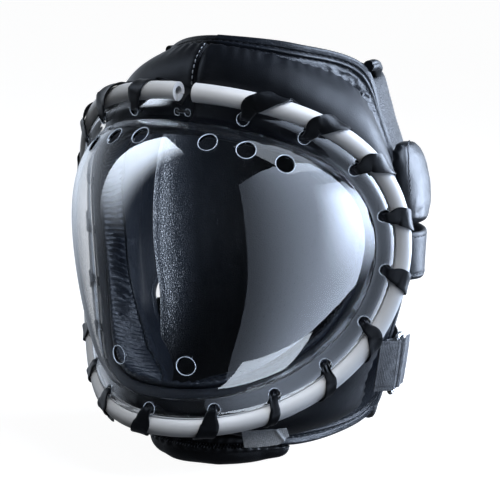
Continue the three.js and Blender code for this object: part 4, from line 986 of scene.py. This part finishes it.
def web_ribs(run, v):
    rib = weave_lift(run[:, None] + 0 * v[None], v[None] + 0.4 * run[:, None], 1.25) - 0.6
    slack = 0.5 * np.sin(v[None] / 5.5 + run[:, None] / 7)
    return 0.26 * rib + 0.2 * slack - 0.3 * np.exp(-((np.abs(v[None]) - WEB_WIDTH / 2 + 2.2) / 0.5) ** 2)


for side, hand in (("left", 1), ("right", -1)):
    for name, route, steps, stood in (("jaw_webbing", LOWER_ROUTE, 200, "lower_strap"), ("neck_webbing", NECK_ROUTE, 360, "neck_strap")):
        loops, outer = band_loops(route, 58, WEB_WIDTH, WEB_THICK - 0.3, steps, 44, lean=6, ribs=web_ribs)
        web = fit_piece(loop_mesh(f"{name}_{side}", loops * (hand, 1, 1)), webbing, [f"{stood}_{side}"])


# Wire loops: bright nickel-plated steel wire bent into upright rectangles that join the jaw straps.
# The wire is round, with small bends at the four corners and its ends welded together.
WIRE_CORNER = 3
WIRE_HALF = 38.5 / 2 - WIRE_CORNER
nickel, tree, surface = new_finish("bright_nickel")
where = add_node(tree, "ShaderNodeTexCoord").outputs["Object"]
draw = add_node(tree, "ShaderNodeTexNoise", Vector=where, Scale=500.0, Detail=4.0)
dull = add_node(tree, "ShaderNodeMapRange", Value=draw.outputs["Fac"])
dull.inputs["To Min"].default_value, dull.inputs["To Max"].default_value = 0.14, 0.32
tree.links.new(dull.outputs["Result"], surface.inputs["Roughness"])
tint = add_node(tree, "ShaderNodeMix", {"data_type": "RGBA"}, Factor=draw.outputs["Fac"])
tint.inputs["A"].default_value = (0.62, 0.62, 0.63, 1)
tint.inputs["B"].default_value = (0.80, 0.80, 0.80, 1)
tree.links.new(tint.outputs["Result"], surface.inputs["Base Color"])
surface.inputs["Metallic"].default_value = 1
for side, hand in (("left", 1), ("right", -1)):
    wire_line = []
    for bar, end, start in ((FRONT_BAR, 1, 180), (REAR_BAR, 1, 90), (REAR_BAR, -1, 0), (FRONT_BAR, -1, -90)):
        inset = WIRE_CORNER if bar is FRONT_BAR else -WIRE_CORNER
        for turn in np.linspace(0, 90, 9):
            a = math.radians(start - turn)
            wire_line.append((bar[0], bar[1] + inset + WIRE_CORNER * math.cos(a), 58 + end * WIRE_HALF + WIRE_CORNER * math.sin(a)))
    wire_line = np.array(wire_line)
    x, z = wire_line[:, 0] - FRONT_BAR[0], wire_line[:, 2] - 58
    lean = math.radians(6)
    wire_line[:, 0], wire_line[:, 2] = FRONT_BAR[0] + x * math.cos(lean) + z * math.sin(lean), 58 - x * math.sin(lean) + z * math.cos(lean)
    even = smooth_run(wire_line, np.linspace(0, 1, 180, endpoint=False), True)
    wire = fit_piece(loop_mesh(f"wire_loop_{side}", tube_loops(even * (hand, 1, 1), WIRE, 12, True, (1, 0, 0)), True),
              nickel, [f"strap_loop_{side}"])


# Crown loops: rolled leather cords between the base and the rear panel at the corners of the crown.
# A narrow cowhide strip is rolled on itself and its edge is glued down, so a seam line runs along it.
CROWN_ROUTE = [(73, 12, 246.4), (72, 22, 246.6), (68, 34, 244.2), (60.5, 48, 239.2)]
for side, hand in (("left", 1), ("right", -1)):
    line = smooth_run(np.array(CROWN_ROUTE, float), np.linspace(0, 1, 60)) * (hand, 1, 1)
    loops = tube_loops(line, 3.5, 28, first=(0, 0, 1))
    centre = line[:, None]
    arms = loops - centre
    turns = np.linspace(0, 2 * math.pi, 28, endpoint=False)
    shape = 1 - 0.22 * np.exp(-((np.mod(turns - 1.1 + math.pi, 2 * math.pi) - math.pi) / 0.16) ** 2)
    shape = shape[None] + 0.05 * lumps(loops, 4.5, 61)
    fit_piece(loop_mesh(f"crown_roll_{side}", centre + arms * shape[..., None]), strap_hide, [f"crown_loop_{side}"])


# Studio: a pale floor and a white backdrop, two large soft panels and a softer one above.
# The camera stands a little to the wearer's left of the face and slightly above it.
BACK = Vector((0.492404, -0.852869, 0.173648))
camera_data = bpy.data.cameras.new("photo_camera")
camera_data.lens = 134.5
camera_data.sensor_width = 36
camera = bpy.data.objects.new("photo_camera", camera_data)
bpy.context.scene.collection.objects.link(camera)
level = Vector((math.cos(math.radians(30)), math.sin(math.radians(30)), 0))
upright = BACK.cross(level)
tilt = math.radians(2)
right = level * math.cos(tilt) + upright * math.sin(tilt)
above = upright * math.cos(tilt) - level * math.sin(tilt)
turned = Matrix((right, above, BACK)).transposed().to_4x4()
camera.matrix_world = Matrix.Translation(Vector((0, LIFT_BACK / 1000, 0.124)) + BACK * 1.2) @ turned
bpy.context.scene.camera = camera

floor_mesh = bpy.data.meshes.new("floor")
floor_mesh.from_pydata([(-30, -30, 0), (30, -30, 0), (30, 30, 0), (-30, 30, 0)], [], [(0, 1, 2, 3)])
floor = bpy.data.objects.new("floor", floor_mesh)
bpy.context.scene.collection.objects.link(floor)
pale, tree, surface = new_finish("pale_floor")
where = add_node(tree, "ShaderNodeTexCoord").outputs["Object"]
cloud = add_node(tree, "ShaderNodeTexNoise", Vector=where, Scale=3.0, Detail=3.0)
tint = add_node(tree, "ShaderNodeMix", {"data_type": "RGBA"}, Factor=cloud.outputs["Fac"])
tint.inputs["A"].default_value = (0.28, 0.28, 0.28, 1)
tint.inputs["B"].default_value = (0.32, 0.32, 0.32, 1)
tree.links.new(tint.outputs["Result"], surface.inputs["Base Color"])
surface.inputs["Roughness"].default_value = 0.9
surface.inputs["Specular IOR Level"].default_value = 0.0
surface.inputs["Emission Color"].default_value = (1, 1, 1, 1)
surface.inputs["Emission Strength"].default_value = 0.95
floor_mesh.materials.append(pale)
floor.visible_glossy = False
floor.visible_diffuse = False
floor.visible_shadow = False
floor.visible_transmission = False


def soft_panel(name, place, aim, wide, tall, bright, lean=0.0, colour=(1, 1, 1), fades=()):
    lamp = bpy.data.lights.new(name, "AREA")
    lamp.shape, lamp.size, lamp.size_y = "RECTANGLE", wide, tall
    lamp.energy, lamp.color = bright * math.pi * wide * tall, colour
    panel = bpy.data.objects.new(name, lamp)
    bpy.context.scene.collection.objects.link(panel)
    faced = (Vector(aim) - Vector(place)).to_track_quat("-Z", "Y").to_matrix().to_4x4()
    panel.matrix_world = Matrix.Translation(place) @ faced @ Matrix.Rotation(math.radians(lean), 4, "Z")
    panel.visible_camera = False
    panel.visible_transmission = False
    if fades:
        lamp.use_nodes = True
        tree = lamp.node_tree
        spread = add_node(tree, "ShaderNodeNewGeometry").outputs["Parametric"]
        parts = add_node(tree, "ShaderNodeSeparateXYZ", Vector=spread)
        strength = None
        for axis, start, end, low, high in fades:
            ramp = add_node(tree, "ShaderNodeMapRange", {"interpolation_type": "SMOOTHSTEP"}, Value=parts.outputs[axis])
            ramp.inputs["From Min"].default_value, ramp.inputs["From Max"].default_value = start, end
            ramp.inputs["To Min"].default_value, ramp.inputs["To Max"].default_value = low, high
            if strength is None:
                strength = ramp.outputs["Result"]
            else:
                both = add_node(tree, "ShaderNodeMath", {"operation": "MULTIPLY"})
                tree.links.new(strength, both.inputs[0])
                tree.links.new(ramp.outputs["Result"], both.inputs[1])
                strength = both.outputs["Value"]
        tree.links.new(strength, tree.nodes["Emission"].inputs["Strength"])
    return panel


def far_place(azimuth, height, distance):
    a, h = math.radians(azimuth), math.radians(height)
    return Vector(MIDDLE) + distance * Vector((math.cos(h) * math.sin(a), -math.cos(h) * math.cos(a), math.sin(h)))


MIDDLE = (0.03, -0.06, 0.13)
COOL = (0.76, 0.86, 1.0)
BLUE = (0.67, 0.79, 1.0)
PALE = (0.92, 0.95, 1.0)


def light_for(panel, pieces, choice):
    chosen = bpy.data.collections.new(panel.name + "_pieces")
    for piece in pieces:
        chosen.objects.link(piece)
    for link in chosen.collection_objects:
        link.light_linking.link_state = choice
    panel.light_linking.receiver_collection = chosen


for panel in (
    soft_panel("left_softbox", far_place(-56, 23, 1.2), MIDDLE, 0.68, 1.36, 21, -10, COOL,
               fades=[("Y", 0.0, 0.75, 0.0, 1.0), ("X", 0.94, 0.42, 0.0, 1.0)]),
    soft_panel("right_wall", far_place(74, 7, 1.2), MIDDLE, 2.36, 2.7, 8.0, 14, BLUE, fades=[("X", 0.0, 1.0, 0.12, 1.35)]),
    soft_panel("right_softbox", far_place(106, 3, 1.15), MIDDLE, 1.2, 1.3, 22, 0, BLUE,
               fades=[("X", 0.0, 0.6, 0.0, 1.0), ("Y", 0.02, 0.6, 0.0, 1.0), ("Y", 1.0, 0.7, 0.25, 1.0)]),
    soft_panel("low_panel", (0.46, -0.19, -0.36), (0.06, -0.085, 0.074), 0.5, 0.2, 10, colour=COOL),
    soft_panel("top_softbox", (0.5, -0.05, 1.3), MIDDLE, 0.8, 1.0, 4.0, colour=COOL),
):
    light_for(panel, (shield, drilled), "INCLUDE")
for panel in (
    soft_panel("leather_key", far_place(120, 41, 1.2), MIDDLE, 0.9, 0.9, 7.2, colour=BLUE),
    soft_panel("right_fill", far_place(75, -5, 1.2), MIDDLE, 0.9, 0.9, 1.2, colour=BLUE),
):
    light_for(panel, (shield, drilled), "EXCLUDE")
light_for(soft_panel("left_fill", far_place(-60, 32, 1.2), MIDDLE, 0.6, 0.7, 2, colour=BLUE), (bumper, lace, chin), "INCLUDE")
light_for(soft_panel("hose_light", far_place(40, 62, 1.2), MIDDLE, 1.2, 1.2, 4.4, colour=PALE), (hose, *tabs), "INCLUDE")
inner_light = soft_panel("inner_light", far_place(96, 30, 1.2), (-0.06, 0.0, 0.1), 0.55, 0.4, 55, colour=BLUE)
inner_light.data.use_shadow = False
pad_light = soft_panel("pad_light", (-0.045, -0.055, 0.15), (-0.093, 0.01, 0.15), 0.04, 0.17, 16, colour=COOL)
pad_light.data.use_shadow = False
pad_light.data.spread = math.radians(70)
rear_fill = soft_panel("rear_fill", far_place(143, 8, 1.2), MIDDLE, 0.7, 1.0, 17, colour=BLUE)
light_for(rear_fill, (shield, drilled), "EXCLUDE")
light_for(inner_light, (base,), "INCLUDE")
light_for(pad_light, (rear,), "INCLUDE")

world = bpy.data.worlds.new("white_studio")
bpy.context.scene.world = world
world.use_nodes = True
tree = world.node_tree
sky = tree.nodes["Background"]
ways = add_node(tree, "ShaderNodeTexCoord").outputs["Generated"]
toward = add_node(tree, "ShaderNodeVectorMath", {"operation": "DOT_PRODUCT"})
tree.links.new(ways, toward.inputs[0])
toward.inputs[1].default_value = (-0.5, 0.866, 0.1)
glow = add_node(tree, "ShaderNodeMapRange", {"interpolation_type": "SMOOTHSTEP"}, Value=toward.outputs["Value"])
glow.inputs["From Min"].default_value, glow.inputs["From Max"].default_value = -0.1, 0.75
glow.inputs["To Min"].default_value, glow.inputs["To Max"].default_value = 0.02, 1.0
rise = add_node(tree, "ShaderNodeSeparateXYZ", Vector=ways)
low = add_node(tree, "ShaderNodeMapRange", {"interpolation_type": "SMOOTHSTEP"}, Value=rise.outputs["Z"])
low.inputs["From Min"].default_value, low.inputs["From Max"].default_value = 0.1, 0.6
low.inputs["To Min"].default_value, low.inputs["To Max"].default_value = 1.0, 0.04
under = add_node(tree, "ShaderNodeMapRange", {"interpolation_type": "SMOOTHSTEP"}, Value=rise.outputs["Z"])
under.inputs["From Min"].default_value, under.inputs["From Max"].default_value = -0.32, -0.04
under.inputs["To Min"].default_value, under.inputs["To Max"].default_value = 0.12, 1.0
sides = add_node(tree, "ShaderNodeMath", {"operation": "MULTIPLY"})
tree.links.new(low.outputs["Result"], sides.inputs[0])
tree.links.new(under.outputs["Result"], sides.inputs[1])
paper = add_node(tree, "ShaderNodeMath", {"operation": "MULTIPLY"})
tree.links.new(glow.outputs["Result"], paper.inputs[0])
tree.links.new(sides.outputs["Value"], paper.inputs[1])
path = add_node(tree, "ShaderNodeLightPath")
bounced = add_node(tree, "ShaderNodeMath", {"operation": "ADD"})
tree.links.new(path.outputs["Diffuse Depth"], bounced.inputs[0])
tree.links.new(path.outputs["Glossy Depth"], bounced.inputs[1])
seen = add_node(tree, "ShaderNodeMath", {"operation": "LESS_THAN"})
tree.links.new(bounced.outputs["Value"], seen.inputs[0])
seen.inputs[1].default_value = 0.5
lit = add_node(tree, "ShaderNodeMix", {"data_type": "FLOAT"}, Factor=seen.outputs["Value"], A=paper.outputs["Value"], B=1.05)
tree.links.new(lit.outputs["Result"], sky.inputs["Strength"])
cast = add_node(tree, "ShaderNodeMix", {"data_type": "RGBA"}, Factor=seen.outputs["Value"])
cast.inputs["A"].default_value = (0.78, 0.87, 1, 1)
cast.inputs["B"].default_value = (1, 1, 1, 1)
tree.links.new(cast.outputs["Result"], sky.inputs["Color"])
bpy.context.scene.view_settings.view_transform = "Standard"
